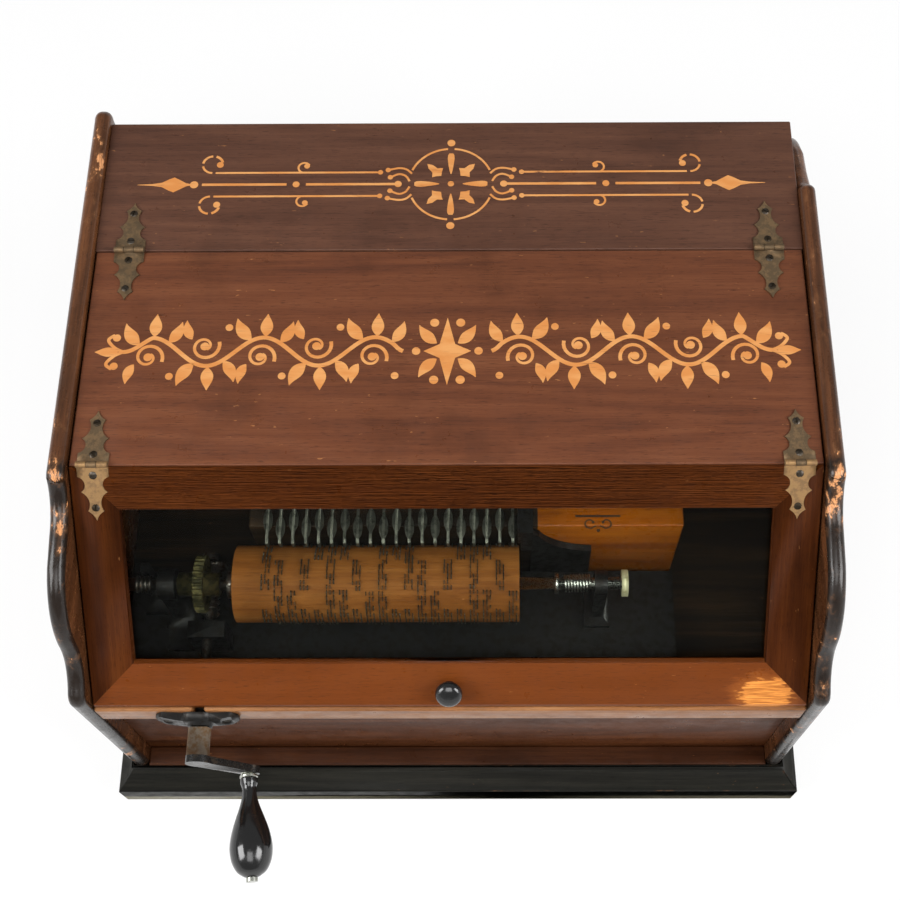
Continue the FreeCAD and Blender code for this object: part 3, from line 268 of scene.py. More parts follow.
@dataclass(frozen=True)
class Wood:
    """Shellacked wood with grain, pores, old stains, scratches and worn edges."""

    name: str
    dark: Colour
    mid: Colour
    light: Colour
    grain: Grain = Grain.ALONG_X
    roughness: float = 0.34
    edge_paint: Colour | None = None
    bare: Colour = BARE_WOOD
    chips: float = 0.0
    clouds: float = 0.35
    flecks: float = 0.4
    coat: float = 0.05
    gloss: float = 0.22
    coat_roughness: float = 0.25
    patch: Patch | None = None
    # Height of the pale strip painted along the foot, a painted reflection of the floor; 0 for none.
    foot: float = 0.0
    slot: str = "walnut"

    def build(self) -> bpy.types.Material:
        """Makes the material."""
        s = Shades(self.name)
        turn = self.grain.turn()
        fine = s.noise(s.place(self.grain.sizes(0.035, 0.0009), turn), detail=2.0, rough=0.6)
        broad = s.noise(s.place(self.grain.sizes(0.22, 0.009), turn), detail=4.0, rough=0.55, warp=0.35)
        figure = s.noise(s.place(self.grain.sizes(0.55, 0.045), turn), detail=1.5, rough=0.4, warp=0.6)
        rings = s.sums("SINE", s.sums("MULTIPLY", figure, 60.0))
        rings = s.sums("MULTIPLY_ADD", rings, 0.5)
        tone = s.sums("ADD", s.sums("MULTIPLY", fine, 0.34), s.sums("MULTIPLY", broad, 0.5))
        tone = s.sums("ADD", tone, s.sums("MULTIPLY", rings, 0.1))
        colour = s.ramp(tone, [(0.28, self.dark), (0.46, self.mid), (0.66, self.light)])
        pores = s.noise(s.place(self.grain.sizes(0.006, 0.00035), turn), detail=1.0)
        pore_share = s.band(pores, 0.6, 0.72, 0.0, 0.55)
        colour = s.blend(pore_share, colour, tuple(0.3 * c for c in self.dark))
        cloud = s.noise(s.place((0.06, 0.06, 0.06)), detail=5.0, rough=0.6)
        cloud_share = s.band(cloud, 0.5, 0.72, 0.0, self.clouds)
        colour = s.blend(cloud_share, colour, tuple(0.35 * c for c in self.dark))
        scuff = s.noise(s.place(self.grain.sizes(0.006, 0.0016), turn, (0.3, 0.1, 0.7)), detail=2.0)
        scuff_share = s.band(scuff, 0.73, 0.79, 0.0, self.flecks)
        scuffed = tuple(0.55 * b + 0.45 * m for b, m in zip(self.bare, self.light))
        colour = s.blend(scuff_share, colour, scuffed)
        height = s.sums("SUBTRACT", s.sums("MULTIPLY", fine, 0.3), s.sums("MULTIPLY", pore_share, 1.0))
        if self.edge_paint is not None:
            nose = s.band(s.axis(1), NOSE_PAINT_ENDS, NOSE_PAINT_ENDS - 0.008)
            colour = s.blend(s.sums("MULTIPLY", s.band(s.edge(), 0.1, 0.5), nose), colour, self.edge_paint)
        if self.chips > 0:
            colour, height = self.worn_edges(s, colour, height)
        if self.patch is not None:
            colour = self.worn_patch(s, colour)
        # The pale strip along the foot is a painted reflection of the floor.
        if self.foot > 0:
            colour = self.painted_floor_reflection(s, colour)
        gloss = s.noise(s.place((0.012, 0.012, 0.012)), detail=4.0, rough=0.65)
        roughness = s.band(gloss, 0.3, 0.75, self.roughness - 0.07, self.roughness + 0.13)
        normal = s.bump(height, 0.35, 0.00012)
        return s.finish(
            colour, roughness, normal, Coat_Weight=self.coat, Coat_Roughness=self.coat_roughness,
            Specular_IOR_Level=self.gloss,
        )

    def worn_edges(self, s: Shades, colour, height):
        """Chips bare wood out of the rounded edges.

        Args:
            s: The tree.
            colour: Colour so far.
            height: Height so far.

        Returns:
            The new colour and height.
        """
        coarse = s.noise(s.place(self.grain.sizes(0.019, 0.009), self.grain.turn()), detail=6.0, rough=0.68)
        spread = s.noise(s.place((0.07, 0.07, 0.07), shift=(0.4, 0.2, 0.9)), detail=1.0)
        level = s.sums("ADD", coarse, s.sums("MULTIPLY", spread, 0.32))
        chip = s.band(level, 0.86 - self.chips, 0.885 - self.chips)
        chip = s.sums("MULTIPLY", chip, s.band(s.edge(), 0.45, 0.75))
        rub = s.band(level, 0.74 - self.chips, 0.9 - self.chips, 0.0, 0.35)
        rub = s.sums("MULTIPLY", rub, s.band(s.edge(), 0.3, 0.9))
        fibre = s.noise(s.place(self.grain.sizes(0.01, 0.0006), self.grain.turn()), detail=2.0)
        raw = s.ramp(fibre, [(0.3, tuple(0.5 * c for c in self.bare)), (0.62, self.bare)])
        colour = s.blend(rub, colour, tuple(0.3 * b + 0.1 * m for b, m in zip(self.bare, self.light)))
        colour = s.blend(chip, colour, raw)
        height = s.sums("SUBTRACT", height, s.sums("MULTIPLY", chip, 2.5))
        return colour, height

    def worn_patch(self, s: Shades, colour):
        """Rubs the finish off around one spot.

        Args:
            s: The tree.
            colour: Colour so far.

        Returns:
            The new colour.
        """
        local = s.place(self.patch.reach, self.grain.turn(), self.patch.middle)
        distance = s.add("ShaderNodeVectorMath", {0: local}, operation="LENGTH").outputs["Value"]
        ragged = s.noise(s.place(self.grain.sizes(0.009, 0.0022), self.grain.turn()), detail=4.0, rough=0.6)
        reach = s.sums("ADD", distance, s.sums("MULTIPLY", ragged, 1.3))
        share = s.band(reach, 1.48, 1.68, 1.0, 0.0)
        halo = s.band(reach, 1.7, 2.3, 0.45, 0.0)
        fibre = s.noise(s.place(self.grain.sizes(0.012, 0.0008), self.grain.turn()), detail=3.0)
        raw = s.ramp(fibre, [(0.34, (0.36, 0.115, 0.02)), (0.6, (0.72, 0.27, 0.055))])
        colour = s.blend(halo, colour, (0.3, 0.085, 0.015))
        return s.blend(share, colour, raw)

    def painted_floor_reflection(self, s: Shades, colour):
        """Paints a pale grey strip along the foot: a painted reflection of the floor in the black paint.

        Args:
            s: The tree.
            colour: Colour so far.

        Returns:
            The new colour.
        """
        height = s.axis(2)
        ragged = s.noise(s.place((0.02, 0.02, 0.006)), detail=5.0, rough=0.7)
        level = s.sums("ADD", height, s.sums("MULTIPLY", ragged, 0.5 * self.foot))
        share = s.band(level, 0.9 * self.foot, 1.3 * self.foot, 0.93, 0.0)
        # Pale grey of the painted floor reflection.
        return s.blend(share, colour, (0.34, 0.31, 0.215))


@dataclass(frozen=True)
class Metal:
    """Old metal: a base, a patina over it and fine scratches."""

    name: str
    base: Colour
    patina: Colour
    amount: float = 0.45
    roughness: float = 0.38
    metallic: float = 1.0
    grime: float = 0.3
    slot: str = "dark_steel"

    def build(self) -> bpy.types.Material:
        """Makes the material."""
        s = Shades(self.name)
        spots = s.noise(s.place((0.005, 0.005, 0.005)), detail=6.0, rough=0.66)
        fine = s.noise(s.place((0.0007, 0.0007, 0.0007)), detail=2.0)
        share = s.band(spots, 0.62 - 0.35 * self.amount, 0.78 - 0.3 * self.amount)
        colour = s.blend(share, self.base, self.patina)
        grime = s.noise(s.place((0.012, 0.012, 0.012), shift=(0.1, 0.6, 0.2)), detail=4.0)
        dirt = s.band(grime, 0.5, 0.75, 0.0, self.grime)
        colour = s.blend(dirt, colour, tuple(0.18 * c for c in self.patina))
        scratched = s.band(fine, 0.3, 0.7, self.roughness - 0.06, self.roughness + 0.08)
        roughness = s.sums("ADD", s.sums("MULTIPLY", share, 0.16), scratched)
        height = s.sums("ADD", s.sums("MULTIPLY", spots, 0.7), s.sums("MULTIPLY", fine, 0.3))
        normal = s.bump(height, 0.25, 0.00006)
        return s.finish(colour, roughness, normal, Metallic=self.metallic)


@dataclass(frozen=True)
class Enamel:
    """Thick glossy enamel over turned wood, with dust and a few dull rubs."""

    name: str
    base: Colour
    roughness: float = 0.16
    slot: str = "black_enamel"

    def build(self) -> bpy.types.Material:
        """Makes the material."""
        s = Shades(self.name)
        rubs = s.noise(s.place((0.014, 0.014, 0.014)), detail=5.0, rough=0.7)
        specks = s.noise(s.place((0.0006, 0.0006, 0.0006)), detail=1.0)
        share = s.band(specks, 0.76, 0.82, 0.0, 0.35)
        colour = s.blend(share, self.base, (0.14, 0.13, 0.12))
        roughness = s.band(rubs, 0.35, 0.75, self.roughness - 0.05, self.roughness + 0.16)
        normal = s.bump(rubs, 0.08, 0.0003)
        return s.finish(colour, roughness, normal, Coat_Weight=0.3, Coat_Roughness=0.08)


@dataclass(frozen=True)
class StencilPaint:
    """Bronze-gold stencil paint, rubbed through in places to the wood."""

    name: str
    base: Colour = (0.53, 0.2, 0.046)
    pale: Colour = (0.6, 0.275, 0.085)
    wood: Colour = (0.09, 0.034, 0.018)
    wear: float = 0.5

    def build(self) -> bpy.types.Material:
        """Makes the material."""
        s = Shades(self.name)
        hue = s.noise(s.place((0.02, 0.006, 0.02)), detail=3.0)
        colour = s.blend(s.band(hue, 0.35, 0.68), self.base, self.pale)
        rubbed = s.noise(s.place((0.03, 0.008, 0.03), shift=(0.21, 0.33, 0.4)), detail=6.0, rough=0.62)
        through = s.band(rubbed, 0.78 - 0.3 * self.wear, 0.86 - 0.3 * self.wear, 0.0, 0.92)
        grain = s.noise(s.place((0.012, 0.0006, 0.0006)), detail=2.0)
        pits = s.band(grain, 0.62, 0.72, 0.0, 0.5)
        share = s.sums("MAXIMUM", through, pits)
        colour = s.blend(share, colour, self.wood)
        return s.finish(colour, 0.5, s.bump(grain, 0.2, 0.00005))


@dataclass(frozen=True)
class Ink:
    """Dark printing ink on varnished wood."""

    name: str
    base: Colour = (0.035, 0.014, 0.004)

    def build(self) -> bpy.types.Material:
        """Makes the material."""
        s = Shades(self.name)
        worn = s.noise(s.place((0.003, 0.003, 0.003)), detail=4.0)
        colour = s.blend(s.band(worn, 0.5, 0.75, 0.0, 0.5), self.base, (0.13, 0.045, 0.01))
        return s.finish(colour, 0.5)


@dataclass(frozen=True)
class Pane:
    """Clear old window glass that lets light through and mirrors a little."""

    name: str
    tint: Colour = (0.95, 0.97, 0.95)
    bend: float = 1.16
    slot: str = "window_glass"

    def build(self) -> bpy.types.Material:
        """Makes the material."""
        s = Shades(self.name)
        clear = s.add("ShaderNodeBsdfTransparent", {"Color": (*self.tint, 1.0)})
        ripple = s.noise(s.place((0.05, 0.05, 0.05)), detail=2.0)
        mirror = s.add(
            "ShaderNodeBsdfGlossy",
            {"Color": (1.0, 1.0, 1.0, 1.0), "Roughness": 0.03, "Normal": s.bump(ripple, 0.06, 0.002)},
        )
        share = s.add("ShaderNodeFresnel", {"IOR": self.bend}).outputs[0]
        mix = s.add("ShaderNodeMixShader", {0: share})
        s.join(clear.outputs[0], mix.inputs[1])
        s.join(mirror.outputs[0], mix.inputs[2])
        output = s.add("ShaderNodeOutputMaterial")
        s.join(mix.outputs[0], output.inputs["Surface"])
        return s.material


@dataclass(frozen=True)
class Cloth:
    """Rubbered bellows cloth with a fine weave and rubbed folds."""

    name: str
    base: Colour
    slot: str = "bellows_cloth"

    def build(self) -> bpy.types.Material:
        """Makes the material."""
        s = Shades(self.name)
        waves = [
            s.add(
                "ShaderNodeTexWave",
                {"Vector": s.coords, "Scale": 260.0, "Distortion": 0.6},
                bands_direction=way,
            )
            for way in ("X", "Z")
        ]
        weave = s.sums("MULTIPLY", waves[0].outputs["Fac"], waves[1].outputs["Fac"])
        age = s.noise(s.place((0.03, 0.03, 0.03)), detail=5.0, rough=0.6)
        colour = s.blend(s.band(age, 0.35, 0.7), self.base, tuple(0.45 * c for c in self.base))
        colour = s.blend(
            s.band(s.edge(), 0.4, 0.9, 0.0, 0.5), colour, tuple(2.4 * c + 0.03 for c in self.base)
        )
        return s.finish(colour, 0.78, s.bump(weave, 0.3, 0.0002), Sheen_Weight=0.2)


class Stock(Enum):
    """Every finish on the organ."""

    LID = Wood(
        "lid_walnut", (0.079, 0.0265, 0.013), (0.117, 0.038, 0.0165), (0.152, 0.053, 0.023), clouds=0.34,
        flecks=0.6, gloss=0.2,
    )
    REAR = Wood(
        "rear_walnut", (0.056, 0.0235, 0.0145), (0.082, 0.0345, 0.0205), (0.11, 0.047, 0.027),
        clouds=0.28,
    )
    RAILS = Wood(
        "door_rail_mahogany", (0.116, 0.028, 0.004), (0.132, 0.032, 0.005), (0.155, 0.04, 0.007),
        patch=Patch((0.1815, -0.1585, 0.1993), (0.0155, 0.0082, 0.03)), chips=0.06, clouds=0.14,
        gloss=0.14, coat=0.02,
    )
    # The stiles take a darker copy of the door's mahogany: painted shade of the side panels, which shade
    # them.
    STILES = Wood(
        "door_stile_mahogany", (0.036, 0.0085, 0.0015), (0.06, 0.0145, 0.0025), (0.095, 0.026, 0.005),
        grain=Grain.DOWN_THE_SLOPE, chips=0.06, clouds=0.3, gloss=0.06, coat=0.0, roughness=0.46,
    )
    SIDES = Wood(
        "side_walnut", (0.03, 0.012, 0.005), (0.075, 0.027, 0.01), (0.15, 0.055, 0.02),
        grain=Grain.ALONG_Y, edge_paint=(0.013, 0.008, 0.0055), bare=(0.72, 0.32, 0.13), chips=0.062,
        clouds=0.45, roughness=0.26, coat=0.16, gloss=0.28, coat_roughness=0.14,
    )
    # The pale strip along its foot (foot=0.012) is a painted reflection of the floor.
    PLINTH = Wood(
        "plinth_black", (0.006, 0.006, 0.005), (0.0125, 0.012, 0.0095), (0.023, 0.0215, 0.0165),
        bare=(0.72, 0.32, 0.13), chips=0.085, clouds=0.2, flecks=0.25, roughness=0.46, coat=0.0,
        gloss=0.07, foot=0.012, slot="ebonised_wood",
    )
    APRON = Wood(
        "apron_walnut", (0.042, 0.013, 0.0045), (0.076, 0.0235, 0.0075), (0.125, 0.042, 0.015),
        flecks=0.7, coat=0.0, gloss=0.1,
    )
    LEDGE = Wood(
        "ledge_walnut", (0.02, 0.0065, 0.0025), (0.038, 0.0125, 0.005), (0.07, 0.025, 0.01), flecks=0.5,
        coat=0.0, gloss=0.1,
    )
    # The front rail's walnut is paler than the other walnut: its own colour together with a painted
    # reflection of the floor on its forward-leaning face.
    RAIL = Wood(
        "rail_walnut", (0.14, 0.054, 0.016), (0.25, 0.1, 0.032), (0.35, 0.165, 0.065), roughness=0.34,
        coat=0.08, gloss=0.2, flecks=0.5,
    )
    INSIDE = Wood(
        "inside_stained", (0.008, 0.005, 0.0025), (0.019, 0.011, 0.0055), (0.045, 0.024, 0.011),
        clouds=0.5, roughness=0.5, coat=0.0, flecks=0.25, gloss=0.1,
    )
    CARCASE = Wood(
        "carcase_pine", (0.1, 0.045, 0.018), (0.21, 0.1, 0.042), (0.33, 0.17, 0.08), roughness=0.6,
        coat=0.0, gloss=0.15,
    )
    CHEST = Wood(
        "chest_amber", (0.16, 0.032, 0.001), (0.31, 0.075, 0.002), (0.43, 0.13, 0.006), roughness=0.3,
        coat=0.1, clouds=0.25, flecks=0.2, slot="varnished_maple",
    )
    COB = Wood(
        "cob_maple", (0.13, 0.039, 0.006), (0.21, 0.07, 0.0115), (0.29, 0.115, 0.026), roughness=0.55,
        coat=0.0, clouds=0.4, flecks=0.9, gloss=0.08, slot="cob_wood",
    )
    HINGE = Metal(
        "hinge_olive_brass", (0.2, 0.125, 0.062), (0.12, 0.08, 0.043), 0.7, 0.5, 0.7, slot="hinge_brass",
    )
    HINGE_DOOR = Metal(
        "hinge_door_brass", (0.34, 0.2, 0.085), (0.22, 0.13, 0.06), 0.5, 0.46, 0.7, 0.15,
        slot="hinge_brass",
    )
    SCREW = Metal("screw_blued", (0.1, 0.085, 0.07), (0.04, 0.03, 0.02), 0.7, 0.4, slot="screw_steel")
    IRON = Metal(
        "bracket_iron", (0.028, 0.027, 0.026), (0.016, 0.012, 0.009), 0.5, 0.36, 0.8, slot="black_iron",
    )
    ARM = Metal(
        "crank_japanned_steel", (0.02, 0.019, 0.018), (0.05, 0.035, 0.022), 0.3, 0.24, 0.6,
        slot="black_iron",
    )
    STEEL = Metal("shaft_steel", (0.2, 0.18, 0.16), (0.08, 0.05, 0.03), 0.5, 0.32)
    CRANK = Metal("crank_browned_steel", (0.2, 0.165, 0.125), (0.14, 0.075, 0.03), 0.55, 0.42, 0.35)
    WHEEL = Metal(
        "wheel_olive_brass", (0.12, 0.1, 0.035), (0.04, 0.036, 0.014), 0.6, 0.5, 0.8, slot="wheel_brass",
    )
    NICKEL = Metal(
        "tail_nickel", (0.5, 0.51, 0.46), (0.3, 0.3, 0.25), 0.3, 0.26, grime=0.12, slot="bright_steel",
    )
    KEYS = Metal("key_nickel", (0.15, 0.15, 0.12), (0.05, 0.05, 0.04), 0.5, 0.4, 0.8, slot="key_metal")
    PINS = Metal("pin_wire", (0.035, 0.033, 0.022), (0.015, 0.013, 0.009), 0.5, 0.45, 0.7, slot="pin_steel")
    BRASS_END = Metal(
        "tail_disc_brass", (0.6, 0.56, 0.34), (0.4, 0.36, 0.19), 0.4, 0.4, 0.3, slot="bright_steel",
    )
    ENAMEL = Enamel("handle_enamel", (0.006, 0.006, 0.006))
    GOLD = StencilPaint("stencil_gold")
    GOLD_TITLE = StencilPaint("stencil_gold_lid", wear=0.32)
    INK = Ink("label_ink")
    GLASS = Pane("clear_pane")
    CLOTH = Cloth("rubbered_cloth", (0.07, 0.016, 0.014))

    def material(self) -> bpy.types.Material:
        """The finish's material, made once."""
        return bpy.data.materials.get(self.value.name) or self.value.build()


# Helpers for meshes


def settle(
    obj: bpy.types.Object, body: str, stock: Stock | None = None, nodes: Sequence[str] = ()
) -> bpy.types.Object:
    """Dresses a finished piece and hangs it on its body.

    Args:
        obj: The piece, in place.
        body: The body it rides on.
        stock: Its finish, or None where it has one already.
        nodes: The nodes of the frame that it stands for.

    Returns:
        The piece.
    """
    if stock is not None:
        obj.data.materials.clear()
        obj.data.materials.append(stock.material())
        hasattr(stock.value, "slot")
    if nodes:
        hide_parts(*nodes)
    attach(obj, body)
    LOG.info("%s rides on %s, %d faces", obj.name, body, len(obj.data.polygons))
    return obj


def body_of(node: str) -> str:
    """The body that a node of the frame rides on."""
    for body, nodes in frame["record"]["behaviour"]["bodies"].items():
        if node in nodes:
            return body
    return "root"


def shaped(name: str, build: Callable[[bmesh.types.BMesh], None], smooth: float = 35.0) -> bpy.types.Object:
    """Makes a mesh object from a function that fills a bmesh.

    Args:
        name: The object's name.
        build: Fills the bmesh, in metres.
        smooth: Edges sharper than this stay sharp, in degrees.

    Returns:
        The object, linked to the scene.
    """
    mesh = bpy.data.meshes.new(name)
    work = bmesh.new()
    build(work)
    bmesh.ops.recalc_face_normals(work, faces=work.faces)
    work.to_mesh(mesh)
    work.free()
    mesh.polygons.foreach_set("use_smooth", [True] * len(mesh.polygons))
    mesh.set_sharp_from_angle(angle=math.radians(smooth))
    obj = bpy.data.objects.new(name, mesh)
    bpy.context.scene.collection.objects.link(obj)
    return obj


def merged_copy(work: bmesh.types.BMesh, node: str, flatten: bool) -> None:
    """Fills a bmesh with a node's mesh, its loose triangles merged.

    Args:
        work: The bmesh.
        node: The node of the frame.
        flatten: Whether flat faces are joined.
    """
    work.from_mesh(frame["nodes"][node].data)
    bmesh.ops.remove_doubles(work, verts=work.verts, dist=2e-6)
    if flatten:
        bmesh.ops.dissolve_limit(
            work, angle_limit=math.radians(0.8), verts=work.verts, edges=work.edges, delimit=set()
        )


def plain_mesh(obj: bpy.types.Object) -> None:
    """Turns an object's modifiers into its plain mesh."""
    graph = bpy.context.evaluated_depsgraph_get()
    mesh = bpy.data.meshes.new_from_object(obj.evaluated_get(graph))
    obj.modifiers.clear()
    old = obj.data
    obj.data = mesh
    bpy.data.meshes.remove(old)


def weigh_edges(mesh: bpy.types.Mesh, angle: float) -> None:
    """Marks the edges to round: the sharp ones, but none on the floor.

    Args:
        mesh: The mesh.
        angle: Edges bent by less than this stay as they are, in radians.
    """
    work = bmesh.new()
    work.from_mesh(mesh)
    layer = work.edges.layers.float.new("bevel_weight_edge")
    for edge in work.edges:
        on_floor = max(vertex.co.z for vertex in edge.verts) < 0.0005
        sharp = len(edge.link_faces) == 2 and edge.calc_face_angle() > angle
        edge[layer] = 1.0 if sharp and not on_floor else 0.0
    work.to_mesh(mesh)
    work.free()


def mark_edges(mesh: bpy.types.Mesh, width: float) -> None:
    """Writes the edge attribute: 1 where only narrow faces meet.

    Args:
        mesh: The mesh.
        width: Faces narrower than this count as part of an edge.
    """
    wide = [False] * len(mesh.vertices)
    for face in mesh.polygons:
        longest = max(
            (mesh.vertices[a].co - mesh.vertices[b].co).length for a, b in face.edge_keys
        )
        if face.area / max(longest, 1e-9) > width:
            for vertex in face.vertices:
                wide[vertex] = True
    layer = mesh.attributes.new("edge", "FLOAT", "POINT")
    layer.data.foreach_set("value", [0.0 if flat else 1.0 for flat in wide])


def softened(
    node: str, stock: Stock, width: float, segments: int = 3, edge_width: float | None = None
) -> bpy.types.Object:
    """A copy of a wooden node with its edges rounded, in the node's place.

    Args:
        node: The node of the frame.
        stock: Its finish.
        width: Radius of the rounding, in metres.
        segments: Faces across the rounding.
        edge_width: Faces narrower than this count as edge for the wear.

    Returns:
        The piece.
    """
    obj = shaped(node + "_wood", lambda work: merged_copy(work, node, True), smooth=180.0)
    bevel = obj.modifiers.new("rounding", "BEVEL")
    weigh_edges(obj.data, math.radians(38))
    bevel.width = width
    bevel.segments = segments
    bevel.limit_method = "WEIGHT"
    bevel.use_clamp_overlap = False
    bevel.harden_normals = True
    plain_mesh(obj)
    mark_edges(obj.data, edge_width or 1.3 * width)
    return settle(obj, body_of(node), stock, [node])


def polished(node: str, stock: Stock, angle: float = 32.0) -> bpy.types.Object:
    """A copy of a metal node with smooth shading on its curved faces.

    Args:
        node: The node of the frame.
        stock: Its finish.
        angle: Edges sharper than this stay sharp, in degrees.

    Returns:
        The piece.
    """
    obj = shaped(node + "_smooth", lambda work: merged_copy(work, node, False), smooth=angle)
    return settle(obj, body_of(node), stock, [node])


def arc(centre: Point, radius: float, start: float, end: float, steps: int = 20) -> list[Point]:
    """Points along an arc.

    Args:
        centre: Its centre.
        radius: Its radius.
        start: First angle, in degrees.
        end: Last angle, in degrees.
        steps: How many spans it has.

    Returns:
        The points, both ends among them.
    """
    angles = [math.radians(start + (end - start) * n / steps) for n in range(steps + 1)]
    return [(centre[0] + radius * math.cos(a), centre[1] + radius * math.sin(a)) for a in angles]


@dataclass
class Sheet:
    """Flat thin shapes on one plane: strokes, dots and leaves, in millimetres."""

    low: float = -0.02
    high: float = 0.07
    layer: float = 0.003
    shapes: list[list[Point]] = field(default_factory=list)
    strips: list[tuple[list[Point], list[Point]]] = field(default_factory=list)

    def area(self, points: Sequence[Point]) -> None:
        """Adds one filled outline."""
        self.shapes.append(list(points))

    def dot(self, x: float, y: float, radius: float) -> None:
        """Adds a round dot."""
        self.area(arc((x, y), radius, 0, 360 * 17 / 18, 17))

    def stroke(self, points: Sequence[Point], width: float | Callable[[float], float]) -> None:
        """Adds a line of a width.

        Args:
            points: Points along its middle.
            width: Its width, or a function of the share along it.
        """
        left: list[Point] = []
        right: list[Point] = []
        count = len(points) - 1
        for number, (x, y) in enumerate(points):
            before = points[max(number - 1, 0)]
            after = points[min(number + 1, count)]
            way = Vector((after[0] - before[0], after[1] - before[1])).normalized()
            half = (width(number / count) if callable(width) else width) / 2
            left.append((x - way.y * half, y + way.x * half))
            right.append((x + way.y * half, y - way.x * half))
        self.strips.append((left, right))

    def leaf(self, foot: Point, angle: float, length: float, width: float, bend: float = 0.0) -> None:
        """Adds a pointed leaf.

        Args:
            foot: Where it starts.
            angle: Its heading, in degrees.
            length: Its length.
            width: Its greatest width.
            bend: How far its tip curves to the left, in degrees.
        """
        spine = [foot]
        steps = 12
        for number in range(steps):
            heading = math.radians(angle + bend * (number / (steps - 1) - 0.2))
            x, y = spine[-1]
            spine.append((x + length / steps * math.cos(heading), y + length / steps * math.sin(heading)))
        self.stroke(spine, lambda share: 0.35 + width * math.sin(math.pi * share ** 0.8) ** 1.15)

    def add_pair(self, half: "Sheet") -> None:
        """Adds another sheet's shapes twice, as they are and mirrored in X."""
        for side in (-1, 1):
            self.shapes += [[(side * x, y) for x, y in outline] for outline in half.shapes]
            self.strips += [
                tuple([(side * x, y) for x, y in edge] for edge in strip) for strip in half.strips
            ]

    def fill(self, work: bmesh.types.BMesh, place: Matrix) -> None:
        """Writes every shape into a bmesh as a closed thin solid.

        Args:
            work: The bmesh.
            place: From the sheet's plane, in millimetres, to the frame, in metres.
        """
        for order, outline in enumerate(self.shapes):
            top = self.high + self.layer * (order % 7 + 1)
            rows = [[work.verts.new(place @ Vector((x, y, z))) for x, y in outline] for z in (self.low, top)]
            work.faces.new(rows[0][::-1])
            work.faces.new(rows[1])
            for number in range(len(outline)):
                after = (number + 1) % len(outline)
                work.faces.new((rows[0][number], rows[0][after], rows[1][after], rows[1][number]))
        for order, (left, right) in enumerate(self.strips):
            top = self.high - self.layer * (order % 9)
            ring = [
                [work.verts.new(place @ Vector((x, y, z))) for (x, y), z in
                 ((a, self.low), (b, self.low), (b, top), (a, top))]
                for a, b in zip(left, right)
            ]
            work.faces.new(ring[0])
            work.faces.new(ring[-1][::-1])
            for first, second in zip(ring, ring[1:]):
                for side in range(4):
                    after = (side + 1) % 4
                    work.faces.new((first[side], second[side], second[after], first[after]))

    def piece(self, name: str, place: Matrix, body: str, stock: Stock) -> bpy.types.Object:
        """Makes the sheet one piece on a body."""
        return settle(shaped(name, lambda work: self.fill(work, place)), body, stock)


def flat_place(x: float, y: float, z: float) -> Matrix:
    """The plane of a level board: millimetres in it, metres outside."""
    return Matrix.Translation(Vector((x, y, z))) @ Matrix.Scale(MM, 4)


def lathe(work: bmesh.types.BMesh, profile: Sequence[Point], place: Matrix, steps: int = 64) -> None:
    """Turns a profile about its own Z axis into a closed solid.

    Args:
        work: The bmesh.
        profile: Radius and height, in millimetres, from one end of the axis to the other.
        place: From the lathe's space to the frame.
        steps: Faces around.
    """
    rows = []
    for radius, height in profile:
        if radius < 1e-6:
            rows.append([work.verts.new(place @ Vector((0, 0, height)))])
            continue
        angles = [2 * math.pi * n / steps for n in range(steps)]
        spots = [Vector((radius * math.cos(a), radius * math.sin(a), height)) for a in angles]
        rows.append([work.verts.new(place @ spot) for spot in spots])
    for low, high in zip(rows, rows[1:]):
        for n in range(steps):
            after = (n + 1) % steps
            corners = [low[n % len(low)], low[after % len(low)], high[after % len(high)], high[n % len(high)]]
            unique = list(dict.fromkeys(corners))
            if len(unique) > 2:
                work.faces.new(unique)


def smooth_curve(points: Sequence[Point], steps: int = 8) -> list[Point]:
    """A soft curve through points.

    Args:
        points: The points.
        steps: Spans between two points.

    Returns:
        Points along the curve.
    """
    padded = [points[0], *points, points[-1]]
    curve = []
    for p0, p1, p2, p3 in zip(padded, padded[1:], padded[2:], padded[3:]):
        for n in range(steps):
            t = n / steps
            weights = (
                -0.5 * t + t * t - 0.5 * t ** 3,
                1 - 2.5 * t * t + 1.5 * t ** 3,
                0.5 * t + 2 * t * t - 1.5 * t ** 3,
                -0.5 * t * t + 0.5 * t ** 3,
            )
            near = (p0, p1, p2, p3)
            curve.append(tuple(sum(w * p[axis] for w, p in zip(weights, near)) for axis in (0, 1)))
    curve.append(tuple(points[-1]))
    return curve


# Geometry Nodes


